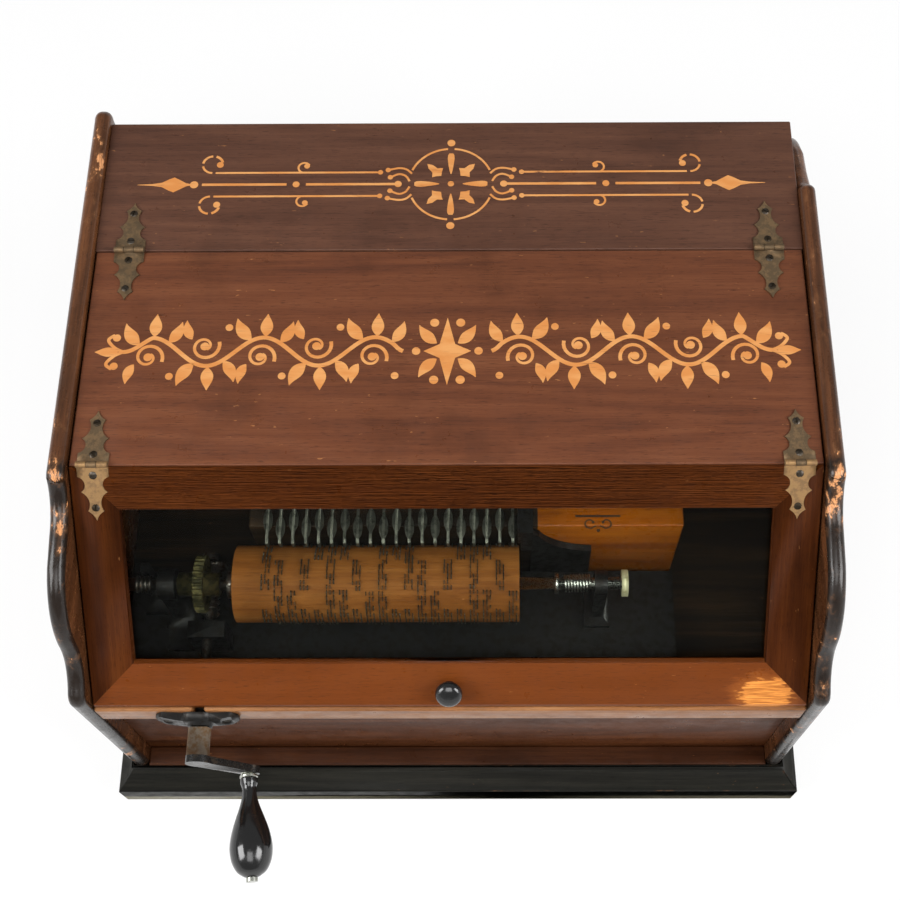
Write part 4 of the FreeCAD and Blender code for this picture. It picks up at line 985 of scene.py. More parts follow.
@dataclass
class Scatter:
    """Copies of one small part on marked points, made by Geometry Nodes."""

    name: str
    stock: Stock
    body: str
    spots: list[tuple[Vector, Euler, float]] = field(default_factory=list)

    def add(self, spot: Vector, turn: Euler, size: float = 1.0) -> None:
        """Marks one place."""
        self.spots.append((spot, turn, size))

    def points(self) -> bpy.types.Object:
        """An object whose vertices hold each place, turn and size."""
        mesh = bpy.data.meshes.new(self.name)
        mesh.from_pydata([tuple(spot) for spot, turn, size in self.spots], [], [])
        turns = mesh.attributes.new("turn", "FLOAT_VECTOR", "POINT")
        turns.data.foreach_set("vector", [value for spot, turn, size in self.spots for value in turn])
        sizes = mesh.attributes.new("size", "FLOAT", "POINT")
        sizes.data.foreach_set("value", [size for spot, turn, size in self.spots])
        obj = bpy.data.objects.new(self.name, mesh)
        bpy.context.scene.collection.objects.link(obj)
        return obj

    def make(self, part: bpy.types.Object, nodes: Sequence[str]) -> bpy.types.Object:
        """Scatters the part and turns the result into one plain mesh.

        Args:
            part: The small part, at the origin, which is deleted afterwards.
            nodes: The nodes of the frame that the copies stand for.

        Returns:
            The piece.
        """
        group = bpy.data.node_groups.new(self.name, "GeometryNodeTree")
        face = group.interface
        face.new_socket("Geometry", in_out="INPUT", socket_type="NodeSocketGeometry")
        scale_socket = face.new_socket("Overall Size", in_out="INPUT", socket_type="NodeSocketFloat")
        seed_socket = face.new_socket("Seed", in_out="INPUT", socket_type="NodeSocketInt")
        face.new_socket("Geometry", in_out="OUTPUT", socket_type="NodeSocketGeometry")
        t = Tree(group)
        given = t.add("NodeGroupInput")
        turn = t.add("GeometryNodeInputNamedAttribute", {"Name": "turn"}, data_type="FLOAT_VECTOR")
        size = t.add("GeometryNodeInputNamedAttribute", {"Name": "size"}, data_type="FLOAT")
        jitter = t.add(
            "FunctionNodeRandomValue", {2: 0.96, 3: 1.04, "Seed": given.outputs["Seed"]}, data_type="FLOAT"
        )
        varied = t.add("ShaderNodeMath", {0: size.outputs[0], 1: jitter.outputs[1]}, operation="MULTIPLY")
        scaled = t.add(
            "ShaderNodeMath", {0: varied.outputs[0], 1: given.outputs["Overall Size"]}, operation="MULTIPLY"
        )
        source = t.add("GeometryNodeObjectInfo", {"Object": part})
        points = t.add("GeometryNodeMeshToPoints", {"Mesh": given.outputs["Geometry"]})
        copies = t.add(
            "GeometryNodeInstanceOnPoints",
            {
                "Points": points.outputs[0],
                "Instance": source.outputs["Geometry"],
                "Rotation": turn.outputs[0],
                "Scale": scaled.outputs[0],
            },
        )
        real = t.add("GeometryNodeRealizeInstances", {"Geometry": copies.outputs[0]})
        finish = self.stock.material()
        dressed = t.add("GeometryNodeSetMaterial", {"Geometry": real.outputs[0], "Material": finish})
        output = t.add("NodeGroupOutput")
        t.join(dressed.outputs[0], output.inputs[0])
        obj = self.points()
        modifier = obj.modifiers.new("scatter", "NODES")
        modifier.node_group = group
        modifier[scale_socket.identifier] = 1.0
        modifier[seed_socket.identifier] = 7
        plain_mesh(obj)
        bpy.data.objects.remove(part)
        return settle(obj, self.body, self.stock, nodes)


def screw_part(name: str, radius: float) -> bpy.types.Object:
    """A slotted round-head screw standing on z = 0, with a short shank under it.

    Args:
        name: The object's name.
        radius: Radius of the head, in metres.

    Returns:
        The object.
    """
    half_slot = 0.14 * radius
    crown = 0.3 * radius
    steps = 10

    def build(work: bmesh.types.BMesh) -> None:
        """Fills the bmesh with the head and the shank."""
        for side in (-1, 1):
            edge_angle = math.asin(half_slot / radius)
            rim = [edge_angle + (math.pi - 2 * edge_angle) * n / steps for n in range(steps + 1)]
            rows = []
            for share, height in ((1.0, -0.12), (1.0, 0.25), (0.86, 0.62), (0.55, 0.9), (0.2, 1.0)):
                row = []
                for angle in rim:
                    x = radius * share * math.cos(angle)
                    y = max(radius * share * math.sin(angle), half_slot)
                    row.append(work.verts.new((x, side * y, crown * height)))
                rows.append(row)
            for low, high in zip(rows, rows[1:]):
                for n in range(steps):
                    work.faces.new((low[n], low[n + 1], high[n + 1], high[n]))
            work.faces.new(rows[-1])
            work.faces.new(rows[0])
            for low, high in zip(rows, rows[1:]):
                work.faces.new((low[0], high[0], high[-1], low[-1]))
        place = Matrix.Translation((0, 0, -4.2 * MM)) @ Matrix.Scale(MM, 4)
        head = radius / MM
        lathe(work, [(0, 0), (0.3 * head, 0), (0.42 * head, 4.25), (0.9 * head, 4.3), (0, 4.36)], place, 12)

    return shaped(name, build)


# Sub-assemblies


@dataclass
class Case:
    """The base, the scrolled sides and the fixed boards."""

    side_rounding: float = 4.3 * MM
    board_rounding: float = 0.9 * MM
    plinth_rounding: float = 1.3 * MM
    moulding_depth: float = 13.55 * MM
    ledge_back: float = 27.0 * MM
    ledge_inset: float = 14.0 * MM

    def make(self) -> None:
        """Builds every wooden piece of the case."""
        for node in ("left_side", "right_side"):
            softened(node, Stock.SIDES, self.side_rounding, 5, edge_width=3.2 * MM)
        self.base_moulding()
        softened("base_board", Stock.INSIDE, self.board_rounding)
        softened("back_board", Stock.APRON, self.board_rounding)
        softened("rear_top_board", Stock.REAR, self.board_rounding)
        softened("front_rail", Stock.RAIL, 1.6 * MM)
        softened("front_apron", Stock.APRON, 0.5 * MM)
        softened("side_cleats", Stock.INSIDE, 0.6 * MM)

    def base_moulding(self) -> None:
        """The black moulding with the brown ledge that runs behind its front."""
        obj = softened("base_moulding", Stock.PLINTH, self.plinth_rounding, 3)
        obj.data.materials.append(Stock.LEDGE.material())
        low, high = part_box("base_moulding")
        for face in obj.data.polygons:
            centre = face.center
            behind = low.y + self.moulding_depth < centre.y < low.y + self.ledge_back
            if behind and abs(centre.x) < high.x - self.ledge_inset:
                face.material_index = 1


@dataclass
class Lid:
    """The plain board that swings up between the sides."""

    rounding: float = 0.9 * MM

    def make(self) -> None:
        """Builds the board."""
        softened("lid_board", Stock.LID, self.rounding)


@dataclass
class Door:
    """The glazed door: four mitred members, a pane and a turned knob."""

    rounding: float = 0.55 * MM
    knob_radius: float = 7.8
    knob_height: float = 12.0
    slope_length: float = 0.1461
    half_width: float = 0.1954
    stile: float = 0.0255
    bottom_rail: float = 0.027

    def make(self) -> None:
        """Builds the frame, the pane and the knob."""
        self.members()
        pane = frame["nodes"]["door_glass"]
        pane.data.materials.clear()
        pane.data.materials.append(Stock.GLASS.material())
        self.knob()

    def members(self) -> None:
        """The four members, with the grain along each; the stiles darker, with painted shade."""
        obj = softened("door_frame", Stock.RAILS, self.rounding)
        # Stile faces get the darker mahogany: painted shade of the side panels.
        obj.data.materials.append(Stock.STILES.material())
        for face in obj.data.polygons:
            centre = face.center
            if self.on_a_stile(centre):
                face.material_index = 1

    def on_a_stile(self, centre: Vector) -> bool:
        """Whether a point lies on a stile, beyond the mitre from either rail."""
        low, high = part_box("door_frame")
        along = (centre.y - low.y) / (high.y - low.y)
        from_foot = along * self.slope_length
        from_side = self.half_width - abs(centre.x)
        mitres = (
            from_foot * self.stile / self.bottom_rail,
            self.slope_length - from_foot,
            self.stile + 0.004,
        )
        return from_side < min(mitres) + 0.0002

    def knob(self) -> None:
        """The glossy turned knob in the middle of the bottom rail."""
        low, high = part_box("door_knob")
        slope = Matrix.Rotation(DOOR_SLOPE, 4, "X")
        middle = Vector((0, (low.y + high.y) / 2, (low.z + high.z) / 2))
        foot = middle - slope @ Vector((0, 0, self.knob_height * MM / 2))
        place = Matrix.Translation(foot) @ slope @ Matrix.Scale(MM, 4)
        r = self.knob_radius
        foot_points = [(4.6, 0.2), (4.5, 1.4), (3.3, 3.2), (4.4, 4.9)]
        head_points = [(r * 0.93, 6.2), (r * 0.99, 8.2), (r * 0.8, 10.4), (r * 0.42, 11.6), (0.02, 11.95)]
        profile = smooth_curve(foot_points + head_points)
        profile = [(0, 0.1), *profile[:-1], (0, 11.95)]
        obj = shaped("door_knob_turned", lambda work: lathe(work, profile, place, 48))
        settle(obj, "door", Stock.ENAMEL, ["door_knob"])


@dataclass
class Hinges:
    """Pointed brass leaves, their pins and slotted screws."""

    screw_from_pin: tuple[float, float] = (6.5 * MM, 25.4 * MM)
    head: float = 2.2 * MM
    lift: float = 2.0 * MM
    leaf: float = 0.9 * MM
    rear_x: float = 0.186
    front_x: float = 0.1924
    rear_pin: float = 0.081
    front_pin: float = -0.0555
    board_top: float = 0.2945
    plate_screws: tuple[float, float] = (-0.1647, -0.1307)
    plate_front: float = -0.1678
    plate_height: float = 0.180

    def make(self) -> None:
        """Builds leaves and screws."""
        polished("case_hinge_leaves", Stock.HINGE)
        polished("lid_hinge_leaves", Stock.HINGE)
        polished("hinge_pins", Stock.HINGE)
        polished("door_hinge_leaves", Stock.HINGE_DOOR)
        self.screws()

    def screws(self) -> None:
        """Slotted heads on every leaf and on the crank's plate."""
        seat = self.leaf - self.lift
        height = self.board_top + self.lift
        down = Matrix.Rotation(DOOR_SLOPE, 4, "X")
        case = Scatter("case_screw_heads", Stock.SCREW, "case")
        lid = Scatter("lid_screw_heads", Stock.SCREW, "lid")
        door = Scatter("door_screw_heads", Stock.SCREW, "door")
        for side in (-1, 1):
            for number, away in enumerate(self.screw_from_pin):
                turn = 0.6 + 1.3 * number + 0.7 * side
                rear, front = side * self.rear_x, side * self.front_x
                case.add(Vector((rear, self.rear_pin + away, height + seat)), Euler((0, 0, turn)))
                lid.add(Vector((rear, self.rear_pin - away, height + seat)), Euler((0, 0, turn + 1.1)))
                lid.add(Vector((front, self.front_pin + away, height + seat)), Euler((0, 0, turn + 2.3)))
                spot = Vector((front, self.front_pin, height))
                spot += down @ Vector((0, -away, seat + 0.5 * MM))
                door.add(spot, (down @ Matrix.Rotation(turn + 0.4, 4, "Z")).to_euler())
        for number, x in enumerate(self.plate_screws):
            turn = Matrix.Rotation(math.pi / 2, 4, "X") @ Matrix.Rotation(0.5 + 1.9 * number, 4, "Z")
            case.add(Vector((x, self.plate_front, self.plate_height)), turn.to_euler(), 1.08)
        for scatter, node in ((case, "case_screws"), (lid, "lid_screws"), (door, "door_screws")):
            scatter.make(screw_part(scatter.name + "_part", self.head), [node])


@dataclass
class CrankDrive:
    """The crank, its handle, the worm wheel and the rod down to the bellows."""

    handle_seat: Triple = (-0.12030, -0.19340, 0.15338)
    handle_way: Triple = (0.1011, -0.9949, 0.0)
    bore: float = 2.06
    arm_back: float = -0.1889
    post_from: float = -0.1935

    def make(self) -> None:
        """Builds the crank's pieces."""
        polished("crank_bearing_plate", Stock.IRON, 40)
        polished("crank_shaft", Stock.STEEL)
        self.arm()
        polished("worm_wheel", Stock.WHEEL)
        polished("connecting_rod", Stock.STEEL)
        polished("drive_bracket", Stock.IRON)
        self.handle()

    def arm(self) -> None:
        """The black arm with its browned steel hub and bright handle post."""
        obj = polished("crank_arm", Stock.ARM, 25)
        obj.data.materials.append(Stock.CRANK.material())
        obj.data.materials.append(Stock.NICKEL.material())
        for face in obj.data.polygons:
            if face.center.y > self.arm_back:
                face.material_index = 1
            elif face.center.y < self.post_from:
                face.material_index = 2

    def handle(self) -> None:
        """The turned handle: bright ferrule, slim neck and full pear-shaped grip."""
        turn = Vector((0, 0, 1)).rotation_difference(Vector(self.handle_way)).to_matrix().to_4x4()
        place = Matrix.Translation(Vector(self.handle_seat)) @ turn @ Matrix.Scale(MM, 4)
        grip = smooth_curve(
            [
                (5.3, 3.4), (5.0, 6.0), (4.2, 9.0), (4.5, 14.0), (5.9, 19.5), (8.3, 26.0), (10.7, 33.0),
                (12.25, 40.0), (12.45, 45.5), (11.3, 51.5), (8.6, 56.6), (5.2, 59.2), (3.6, 60.0),
            ]
        )
        profile = [(self.bore, 3.2), (4.9, 3.2), *grip, (self.bore, 60.0), (self.bore, 3.2)]
        obj = shaped("crank_handle_grip", lambda work: lathe(work, profile, place, 72))
        settle(obj, "handle", Stock.ENAMEL, ["crank_handle"])
        outside = [(4.6, 0.9), (5.4, 1.4), (5.4, 2.4), (4.7, 3.05)]
        ring = [(self.bore, 0.9), *outside, (self.bore, 3.15), (self.bore, 0.9)]
        collar = shaped("crank_handle_ferrule", lambda work: lathe(work, ring, place, 48))
        settle(collar, "handle", Stock.NICKEL)


@dataclass
class CobCarriage:
    """The pinned wooden cob between the feed shaft and the sprung tail spindle."""

    axis_y: float = -0.092
    axis_z: float = 0.203
    radius: float = 22.7 * MM
    first_track: float = -0.1061
    pitch: float = 7.52 * MM
    tracks: int = 20
    steps_round: int = 46
    thumb_disc: float = 0.0965
    spring_travel: float = 7.0 * MM

    def make(self) -> None:
        """Builds the cob, its wire pins, the spindles and their brackets."""
        polished("cob", Stock.COB)
        polished("feed_shaft", Stock.STEEL)
        tail = polished("tail_spindle", Stock.NICKEL)
        tail.data.materials.append(Stock.BRASS_END.material())
        for face in tail.data.polygons:
            if face.center.x > self.thumb_disc:
                face.material_index = 1
        self.spring()
        polished("tail_bracket", Stock.IRON)
        polished("bed_plate", Stock.IRON)
        self.pins()

    def spring(self) -> None:
        """The coil spring, smoothed and given a mesh of its own; it does not close up as the spindle is drawn
        back.
        """
        spring = polished("tail_spring", Stock.NICKEL)
        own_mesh(spring)

    def staple(self) -> bpy.types.Object:
        """One wire bridge: a flat-topped staple along Y, standing on z = 0."""

        def build(work: bmesh.types.BMesh) -> None:
            """Fills the bmesh with the bent wire."""
            half, wire, rise = 1.25 * MM, 0.5 * MM, 1.2 * MM
            left = [(-half, -0.5 * MM), (-half, 0.6 * rise), (-0.7 * half, rise)]
            path = left + [(0.7 * half, rise), (half, 0.6 * rise), (half, -0.5 * MM)]
            rows = []
            for number, (y, z) in enumerate(path):
                before, after = path[max(number - 1, 0)], path[min(number + 1, len(path) - 1)]
                way = Vector((0, after[0] - before[0], after[1] - before[1])).normalized()
                side = way.cross(Vector((1, 0, 0)))
                corners = [(math.cos(a), math.sin(a)) for a in (0.785, 2.356, 3.927, 5.498)]
                rows.append([work.verts.new(Vector((wire * c, y, z)) + side * wire * k) for c, k in corners])
            for low, high in zip(rows, rows[1:]):
                for n in range(4):
                    work.faces.new((low[n], low[(n + 1) % 4], high[(n + 1) % 4], high[n]))
            work.faces.new(rows[0][::-1])
            work.faces.new(rows[-1])

        return shaped("cob_staple", build)

    def pins(self) -> None:
        """Rows of wire bridges, in the little ladders that a tune's chords make."""
        scatter = Scatter("cob_wire_pins", Stock.PINS, "cob")
        for track in range(self.tracks):
            for step in range(self.steps_round):
                phrase = step // 4
                busy = (track * 5 + phrase * 7 + track * phrase * 3) % 11
                if busy > 5:
                    continue
                for turn in range(3):
                    if (busy + turn * 2 + step) % 5 == 0:
                        continue
                    angle = 2 * math.pi * (step + 0.13 * (busy % 3)) / self.steps_round
                    x = self.first_track + track * self.pitch + (turn - 1) * 2.05 * MM
                    spot = Vector((x, self.axis_y, self.axis_z))
                    spot += Vector((0, -math.sin(angle), math.cos(angle))) * self.radius
                    scatter.add(spot, Euler((angle, 0, 0)), 0.72 + 0.08 * ((track + step) % 4))
        scatter.make(self.staple(), ["cob_pins"])


@dataclass
class KeyAction:
    """The valve chest, the key bracket and the twenty keys."""

    count: int = 20
    label_x: float = 0.0868
    label_y: float = -0.0585
    chest_top: float = 0.225
    stained_to: float = 0.0515

    def make(self) -> None:
        """Builds the chest, its printed label and the keys."""
        self.chest()
        softened("pump_board", Stock.INSIDE, 0.5 * MM)
        polished("key_bracket", Stock.IRON)
        for number in range(self.count):
            polished("key_%02d" % (number + 1), Stock.KEYS, 28)
        self.label()

    def chest(self) -> None:
        """The chest: amber where it is open to view, stained dark behind the keys."""
        obj = softened("valve_chest", Stock.CHEST, 1.2 * MM)
        work = bmesh.new()
        work.from_mesh(obj.data)
        everything = [*work.verts, *work.edges, *work.faces]
        bmesh.ops.bisect_plane(
            work, geom=everything, plane_co=(self.stained_to, 0, 0), plane_no=(1, 0, 0)
        )
        for face in work.faces:
            if face.calc_center_median().x < self.stained_to:
                face.material_index = 1
        work.to_mesh(obj.data)
        work.free()
        obj.data.materials.append(Stock.INSIDE.material())

    def label(self) -> None:
        """A plain printed bar with a small scroll under it."""
        sheet = Sheet(high=0.05)
        sheet.stroke([(-13.2, 0.4), (13.2, 0.4)], 1.3)
        for side in (-1, 1):
            sheet.stroke([(side * x, y) for x, y in arc((5.0, -4.6), 2.6, 150, -60, 14)], 0.9)
            sheet.stroke([(side * 7.0, -6.6), (side * 4.2, -7.4), (side * 1.2, -5.6)], 0.8)
            sheet.dot(side * 2.9, -3.4, 0.9)
        sheet.dot(0, -8.6, 1.0)
        sheet.piece("chest_label", flat_place(self.label_x, self.label_y, self.chest_top), "case", Stock.INK)


@dataclass(frozen=True)
class Bag:
    """One folded cloth between a fixed board and a hinged one, in metres."""

    name: str
    body: str
    sides: tuple[float, float]
    depths: tuple[float, float]
    fixed_end: float
    moving_end: float
    folds: int
    fold_depth: float


@dataclass
class Bellows:
    """The feeder and reservoir boards and their folded cloth."""

    thickness: float = 0.8 * MM
    spans_per_fold: int = 10
    corner: float = 2.5 * MM
    bags: tuple[Bag, ...] = (
        Bag("feeder_cloth", "feeder", (-0.19, -0.022), (-0.061, 0.15), 0.1277, 0.1167, 1, 3.8 * MM),
        Bag("reservoir_cloth", "reservoir", (-0.186, 0.186), (0.038, 0.152), 0.1383, 0.1797, 3, 4.8 * MM),
    )

    def make(self) -> None:
        """Builds the boards and the cloth."""
        softened("feeder_board", Stock.CARCASE, 0.8 * MM)
        softened("reservoir_board", Stock.CARCASE, 0.8 * MM)
        for number, bag in enumerate(self.bags):
            self.cloth(bag, ["bellows_cloth"] if number == 0 else [])

    def cloth(self, bag: Bag, nodes: Sequence[str]) -> None:
        """Folds one cloth and fixes it in place; it is not hung on its hinged board.

        Args:
            bag: Where it goes and how it folds.
            nodes: The nodes of the frame that it stands for.
        """
        obj = shaped(bag.name, lambda work: self.fold(work, bag), smooth=60)
        mark_edges(obj.data, self.thickness)
        obj.data.materials.append(Stock.CLOTH.material())
        if nodes:
            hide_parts(*nodes)
        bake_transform(obj)

    def profile(self, bag: Bag) -> list[Point]:
        """Inset and height along the folds, from the fixed board to the moving one."""
        count = bag.folds * self.spans_per_fold
        points = []
        for number in range(count + 1):
            share = number / count
            inset = bag.fold_depth * (0.5 + 0.5 * math.cos(2 * math.pi * bag.folds * share))
            points.append((inset, bag.fixed_end + (bag.moving_end - bag.fixed_end) * share))
        return points

    def ring(
        self, work: bmesh.types.BMesh, bag: Bag, inset: float, height: float
    ) -> list[bmesh.types.BMVert]:
        """One level of the cloth, with its corners cut a little."""
        left, right = bag.sides[0] + inset, bag.sides[1] - inset
        front, back = bag.depths[0] + inset, bag.depths[1] - inset
        cut = self.corner
        spots = [
            (left + cut, front), (right - cut, front), (right, front + cut), (right, back - cut),
            (right - cut, back), (left + cut, back), (left, back - cut), (left, front + cut),
        ]
        return [work.verts.new((x, y, height)) for x, y in spots]

    def fold(self, work: bmesh.types.BMesh, bag: Bag) -> None:
        """Fills a bmesh with the cloth: an outer and an inner face, closed at both ends."""
        profile = self.profile(bag)
        outer = [self.ring(work, bag, inset, height) for inset, height in profile]
        inner = [self.ring(work, bag, inset + self.thickness, height) for inset, height in profile]
        rows = [*outer, *reversed(inner)]
        for low, high in zip(rows, [*rows[1:], rows[0]]):
            for n in range(len(low)):
                after = (n + 1) % len(low)
                work.faces.new((low[n], low[after], high[after], high[n]))


@dataclass
class StencilWork:
    """Gold stencil ornament on the rear board and the lid."""

    rear: Triple = (0.0007, 0.1273, 0.2945)
    title: Triple = (0.0, 0.0146, 0.2945)

    def make(self) -> None:
        """Builds both ornaments."""
        self.rear_ornament().piece("rear_stencil", flat_place(*self.rear), "case", Stock.GOLD)
        self.title_ornament().piece("lid_stencil", flat_place(*self.title), "lid", Stock.GOLD_TITLE)

    def rear_ornament(self) -> Sheet:
        """A ringed star between two ruled spears with scrolls."""
        sheet = Sheet()
        ring = 25.1
        for start, end in ((4.5, 23), (23, 85.5), (94.5, 157), (203, 265.5), (274.5, 337)):
            if start > 5:
                sheet.stroke(arc((0, 0), ring, start, end, 26), 1.3)
        sheet.dot(0, 0, 1.9)
        for quarter in range(4):
            self.petal(sheet, 90 * quarter)
            self.dart(sheet, 45 + 90 * quarter)
        for side in (-1, 1):
            sheet.dot(0, side * 29.4, 2.4)
        sheet.add_pair(self.arm())
        return sheet

    def petal(self, sheet: Sheet, angle: float) -> None:
        """One long petal of the star, pointed towards the middle."""
        a = math.radians(angle)
        spine = [(r * math.cos(a), r * math.sin(a)) for r in (7.0, 9.0, 12.0, 15.0, 18.0, 20.4, 21.8)]
        widths = (0.5, 1.6, 2.7, 3.5, 4.1, 3.8, 2.4)
        sheet.stroke(spine, lambda share: widths[round(share * 6)])

    def dart(self, sheet: Sheet, angle: float) -> None:
        """One barbed dart between two petals."""
        a = math.radians(angle)
        half = [(20.2, 0), (17.2, 1.8), (13.6, 2.1), (11.3, 4.6), (10.2, 2.6), (8.1, 0)]
        outline = half + [(r, -t) for r, t in reversed(half[1:-1])]
        sheet.area(
            [(r * math.cos(a) - t * math.sin(a), r * math.sin(a) + t * math.cos(a)) for r, t in outline]
        )

    def arm(self) -> Sheet:
        """The rules, clasps, scrolls and spear on the right of the ring."""
        half = Sheet()
        half.stroke([(31.5, 0), (86.5, 0)], 1.7)
        half.stroke([(98, 0), (148.5, 0)], 1.7)
        half.dot(31.5, 0, 2.2)
        half.dot(92.3, 0, 2.1)
        half.dot(153.2, 0, 2.5)
        broad = [(155.4, 0.5), (158, 1.1), (161.5, 3.2), (165.2, 5.3)]
        blade = broad + [(168.2, 4.0), (172.5, 1.5), (178, 0.6), (187, 0.12)]
        half.area(blade + [(x, -y) for x, y in reversed(blade)])
        for up in (-1, 1):
            level = 8.4 * up
            half.stroke([(43.5, level), (141.0, level)], 1.3)
            half.dot(42.2, level, 1.6)
            outer = [(23.4, 7.4 * up), (26.6, 10.4 * up), (31.0, 11.3 * up), (37.2, 10.1 * up)]
            half.stroke(smooth_curve(outer), 1.3)
            half.dot(37.6, 10.0 * up, 1.6)
            inner = [(24.6, 1.9 * up), (27.0, 5.6 * up), (31.0, 7.0 * up), (35.8, 5.0 * up)]
            half.stroke(smooth_curve(inner), 1.3)
            half.dot(36.2, 4.8 * up, 1.6)
            big = arc((143.0, 14.4 * up), 6.0, -90 * up, 165 * up, 26)
            half.stroke(big[:9], 1.3)
            half.stroke(big[10:19], 1.4)
            half.stroke(big[20:], 1.6)
            half.dot(138.6, 14.2 * up, 2.1)
            hook = arc((88.0, 11.9 * up), 3.5, 250 * up, 30 * up, 22)
            half.stroke([(176.0 - x, y) for x, y in hook], 1.2)
            half.dot(86.4, 13.0 * up, 1.7)
        return half

    def title_ornament(self) -> Sheet:
        """A running vine of leaves, curls and berries on both sides of a star."""
        sheet = Sheet()
        points = [(13.5, 0), (4.4, 4.4), (0, 21.5), (-4.4, 4.4)]
        sheet.area(points + [(-x, -y) for x, y in points])
        sheet.add_pair(self.star_leaves())
        sheet.add_pair(self.vine())
        return sheet

    def star_leaves(self) -> Sheet:
        """The leaves and berries on the right of the star."""
        half = Sheet()
        for up in (-1, 1):
            half.leaf((6.0, up * 5.0), up * 40, 15.5, 6.4, bend=up * 30)
            half.dot(7.4, up * 18.2, 2.6)
        half.dot(17.6, 0, 2.4)
        return half

    def vine(self) -> Sheet:
        """The right half of the running vine."""
        half = Sheet()
        start, end, half_wave, swing = 25.0, 183.0, 31.6, 9.0

        def height(x: float) -> float:
            """The stem's height at a distance from the middle."""
            fade = min(1.0, (end - x) / 16.0) * min(1.0, (x - start) / 8.0 + 0.35)
            return swing * fade * math.sin(math.pi * (x - start) / half_wave)

        spans = 110
        stem = [start + (end - start) * n / spans for n in range(spans + 1)]
        half.stroke([(x, height(x)) for x in stem], 2.5)
        for bay in range(5):
            self.bay(half, start + half_wave * (bay + 0.5), 1 if bay % 2 == 0 else -1, height)
        half.stroke(smooth_curve([(end, 0), (188.0, 2.6), (192.0, 7.6), (188.6, 10.8)]), 1.9)
        half.stroke(smooth_curve([(end, 0), (188.0, -2.6), (192.0, -7.6), (188.6, -10.8)]), 1.9)
        half.dot(187.4, 9.0, 2.3)
        half.dot(187.4, -9.0, 2.3)
        half.leaf((186.0, 0), 0, 13.0, 5.6)
        return half

    def bay(self, half: Sheet, crest: float, up: int, height: Callable[[float], float]) -> None:
        """One bay of the vine: a fan of leaves over the crest and a curl under it.

        Args:
            half: Where it is drawn.
            crest: The crest's place along the vine.
            up: 1 where the stem arches up, -1 where it dips.
            height: The stem's height along the vine.
        """
        for offset, heading, length, width, bend in (
            (-9.5, 128, 15.0, 6.4, -36), (-1.0, 92, 14.5, 6.8, 0), (7.0, 46, 16.5, 7.2, 38),
        ):
            x = crest + offset
            half.leaf((x, height(x) + up * 0.8), up * heading, length, width, bend=up * bend)
        centre = (crest + 1.5, up * -3.4)
        turns = 15
        curl = []
        for n in range(turns * 2 + 1):
            angle = math.radians(200 - 14.5 * n)
            radius = 8.6 - 0.21 * n
            curl.append((centre[0] + radius * math.cos(angle), centre[1] + up * radius * math.sin(angle)))
        half.stroke(curl, lambda share: 2.1 - 0.8 * share)
        half.dot(centre[0], centre[1], 2.5)
        half.leaf((crest + 9.0, centre[1] - up * 4.6), up * -62, 13.0, 5.4, bend=up * -36)
        half.dot(crest - 11.5, up * -15.5, 2.2)


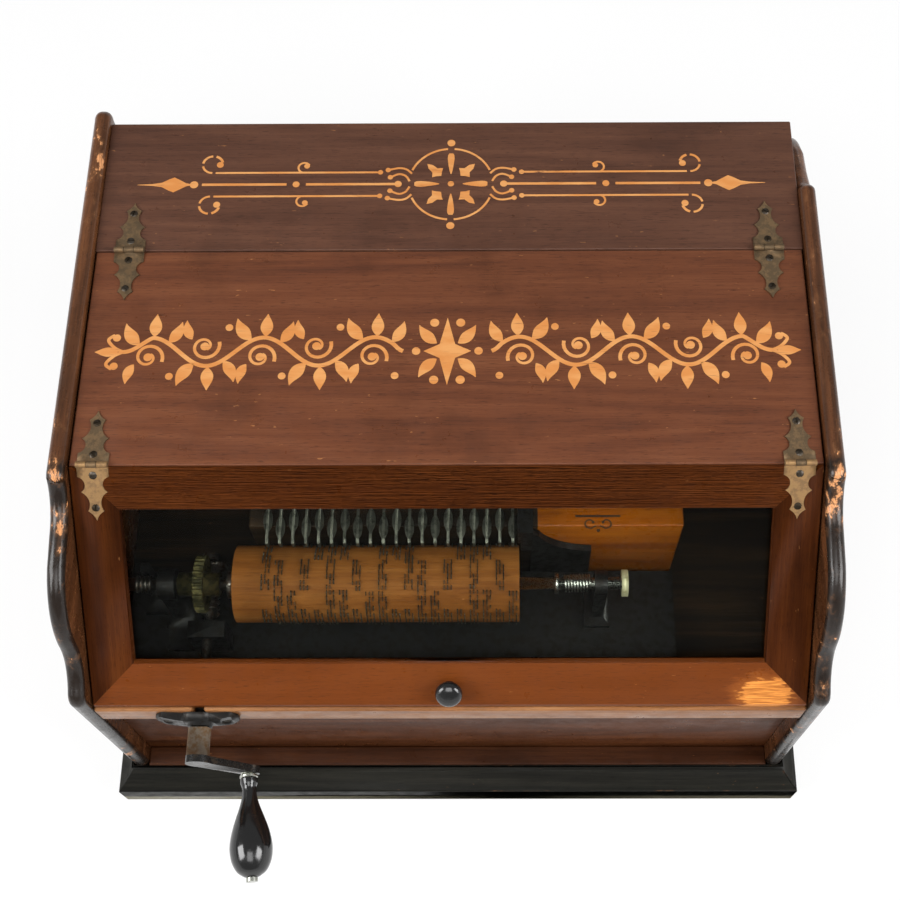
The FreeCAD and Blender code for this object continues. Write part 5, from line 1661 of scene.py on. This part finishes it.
@dataclass
class Studio:
    """The camera at the photograph's angle, the pale floor and the soft lights."""

    spot: Triple = (0.0298, -0.3679, 1.0100)
    yaw: float = math.radians(-0.889)
    pitch: float = math.radians(65.71)
    roll: float = math.radians(-0.977)
    lens: float = 57.47
    shift: tuple[float, float] = (-0.0459, -0.0030)
    world_light: float = 0.34
    backdrop_top: float = 0.22
    floor_white: float = 0.86

    def make(self) -> None:
        """Builds the camera, the lights, the world and the floor."""
        self.camera()
        self.lights()
        self.world()
        self.floor()
        bpy.context.scene.view_settings.view_transform = "Standard"

    def camera(self) -> None:
        """The fitted camera."""
        data = bpy.data.cameras.new("camera")
        data.lens = self.lens
        data.sensor_width = 36.0
        data.shift_x, data.shift_y = self.shift
        data.clip_start = 0.02
        data.clip_end = 50.0
        flat = math.cos(self.pitch)
        ahead = Vector((math.sin(self.yaw) * flat, math.cos(self.yaw) * flat, -math.sin(self.pitch)))
        level = Vector((math.cos(self.yaw), -math.sin(self.yaw), 0))
        above = level.cross(ahead)
        right = level * math.cos(self.roll) + above * math.sin(self.roll)
        up = above * math.cos(self.roll) - level * math.sin(self.roll)
        turn = Matrix((right, up, -ahead)).transposed().to_4x4()
        obj = bpy.data.objects.new("camera", data)
        obj.matrix_world = Matrix.Translation(Vector(self.spot)) @ turn
        bpy.context.scene.collection.objects.link(obj)
        bpy.context.scene.camera = obj

    def lights(self) -> None:
        """Two soft boxes at the sides and a large one high up in front."""
        target = Vector((0, 0, 0.15))
        for name, spot, size, power in (
            ("left_box", (-1.3, -0.5, 1.25), 0.9, 24.0),
            ("right_box", (1.3, -0.5, 1.25), 0.9, 24.0),
            ("top_box", (0.0, -1.1, 2.3), 1.2, 19.0),
        ):
            data = bpy.data.lights.new(name, "AREA")
            data.shape = "SQUARE"
            data.size = size
            data.energy = power
            obj = bpy.data.objects.new(name, data)
            obj.location = spot
            obj.rotation_euler = (target - Vector(spot)).to_track_quat("-Z", "Y").to_euler()
            bpy.context.scene.collection.objects.link(obj)

    def world(self) -> None:
        """Even light from all round, shown white behind the object."""
        world = bpy.data.worlds.new("studio")
        world.use_nodes = True
        bpy.context.scene.world = world
        t = Tree(world.node_tree)
        ray = t.add("ShaderNodeLightPath").outputs
        way = t.add("ShaderNodeSeparateXYZ", {0: t.add("ShaderNodeTexCoord").outputs["Generated"]}).outputs[2]
        range_of = {"Value": way, "From Min": self.backdrop_top, "From Max": self.backdrop_top - 0.08}
        backdrop = t.add("ShaderNodeMapRange", range_of).outputs[0]
        mirrored = t.add(
            "ShaderNodeMath", {0: ray["Is Glossy Ray"], 1: ray["Is Transmission Ray"]}, operation="MAXIMUM"
        ).outputs[0]
        mirrored = t.add("ShaderNodeMath", {0: mirrored, 1: backdrop}, operation="MULTIPLY").outputs[0]
        seen = t.add("ShaderNodeMath", {0: ray["Is Camera Ray"], 1: mirrored}, operation="MAXIMUM")
        light = t.add("ShaderNodeBackground", {"Color": (1.0, 1.0, 1.0, 1.0), "Strength": self.world_light})
        shown = t.add("ShaderNodeBackground", {"Color": (1.0, 1.0, 1.0, 1.0), "Strength": 1.0})
        mix = t.add("ShaderNodeMixShader", {0: seen.outputs[0]})
        t.join(light.outputs[0], mix.inputs[1])
        t.join(shown.outputs[0], mix.inputs[2])
        output = t.add("ShaderNodeOutputWorld")
        t.join(mix.outputs[0], output.inputs["Surface"])

    def floor(self) -> None:
        """A pale floor that keeps the object's shadow."""
        mesh = bpy.data.meshes.new("floor")
        half = 6.0
        corners = [(-half, -half, 0), (half, -half, 0), (half, half, 0), (-half, half, 0)]
        mesh.from_pydata(corners, [], [(0, 1, 2, 3)])
        obj = bpy.data.objects.new("floor", mesh)
        bpy.context.scene.collection.objects.link(obj)
        s = Shades("floor_paper")
        tone = s.noise(s.place((0.4, 0.4, 0.4)), detail=2.0)
        colour = s.blend(s.band(tone, 0.3, 0.7), (self.floor_white,) * 3, (self.floor_white + 0.02,) * 3)
        paper = s.add("ShaderNodeBsdfDiffuse", {"Color": colour})
        ray = s.add("ShaderNodeLightPath")
        seen = s.sums("MAXIMUM", ray.outputs["Is Camera Ray"], ray.outputs["Is Transmission Ray"])
        seen = s.sums("MAXIMUM", seen, ray.outputs["Is Glossy Ray"])
        glow = s.add("ShaderNodeEmission", {"Color": (1.0, 1.0, 1.0, 1.0), "Strength": 1.0})
        mix = s.add("ShaderNodeMixShader", {0: s.sums("MULTIPLY", seen, 0.72)})
        s.join(paper.outputs[0], mix.inputs[1])
        s.join(glow.outputs[0], mix.inputs[2])
        output = s.add("ShaderNodeOutputMaterial")
        s.join(mix.outputs[0], output.inputs["Surface"])
        mesh.materials.append(s.material)


def main() -> None:
    """Builds the studio and every sub-assembly in order."""
    logging.basicConfig(level=logging.INFO, format="%(name)s: %(message)s")
    Studio().make()
    Case().make()
    Lid().make()
    Door().make()
    Hinges().make()
    CrankDrive().make()
    CobCarriage().make()
    KeyAction().make()
    Bellows().make()
    StencilWork().make()


if __name__ == "__main__":
    main()
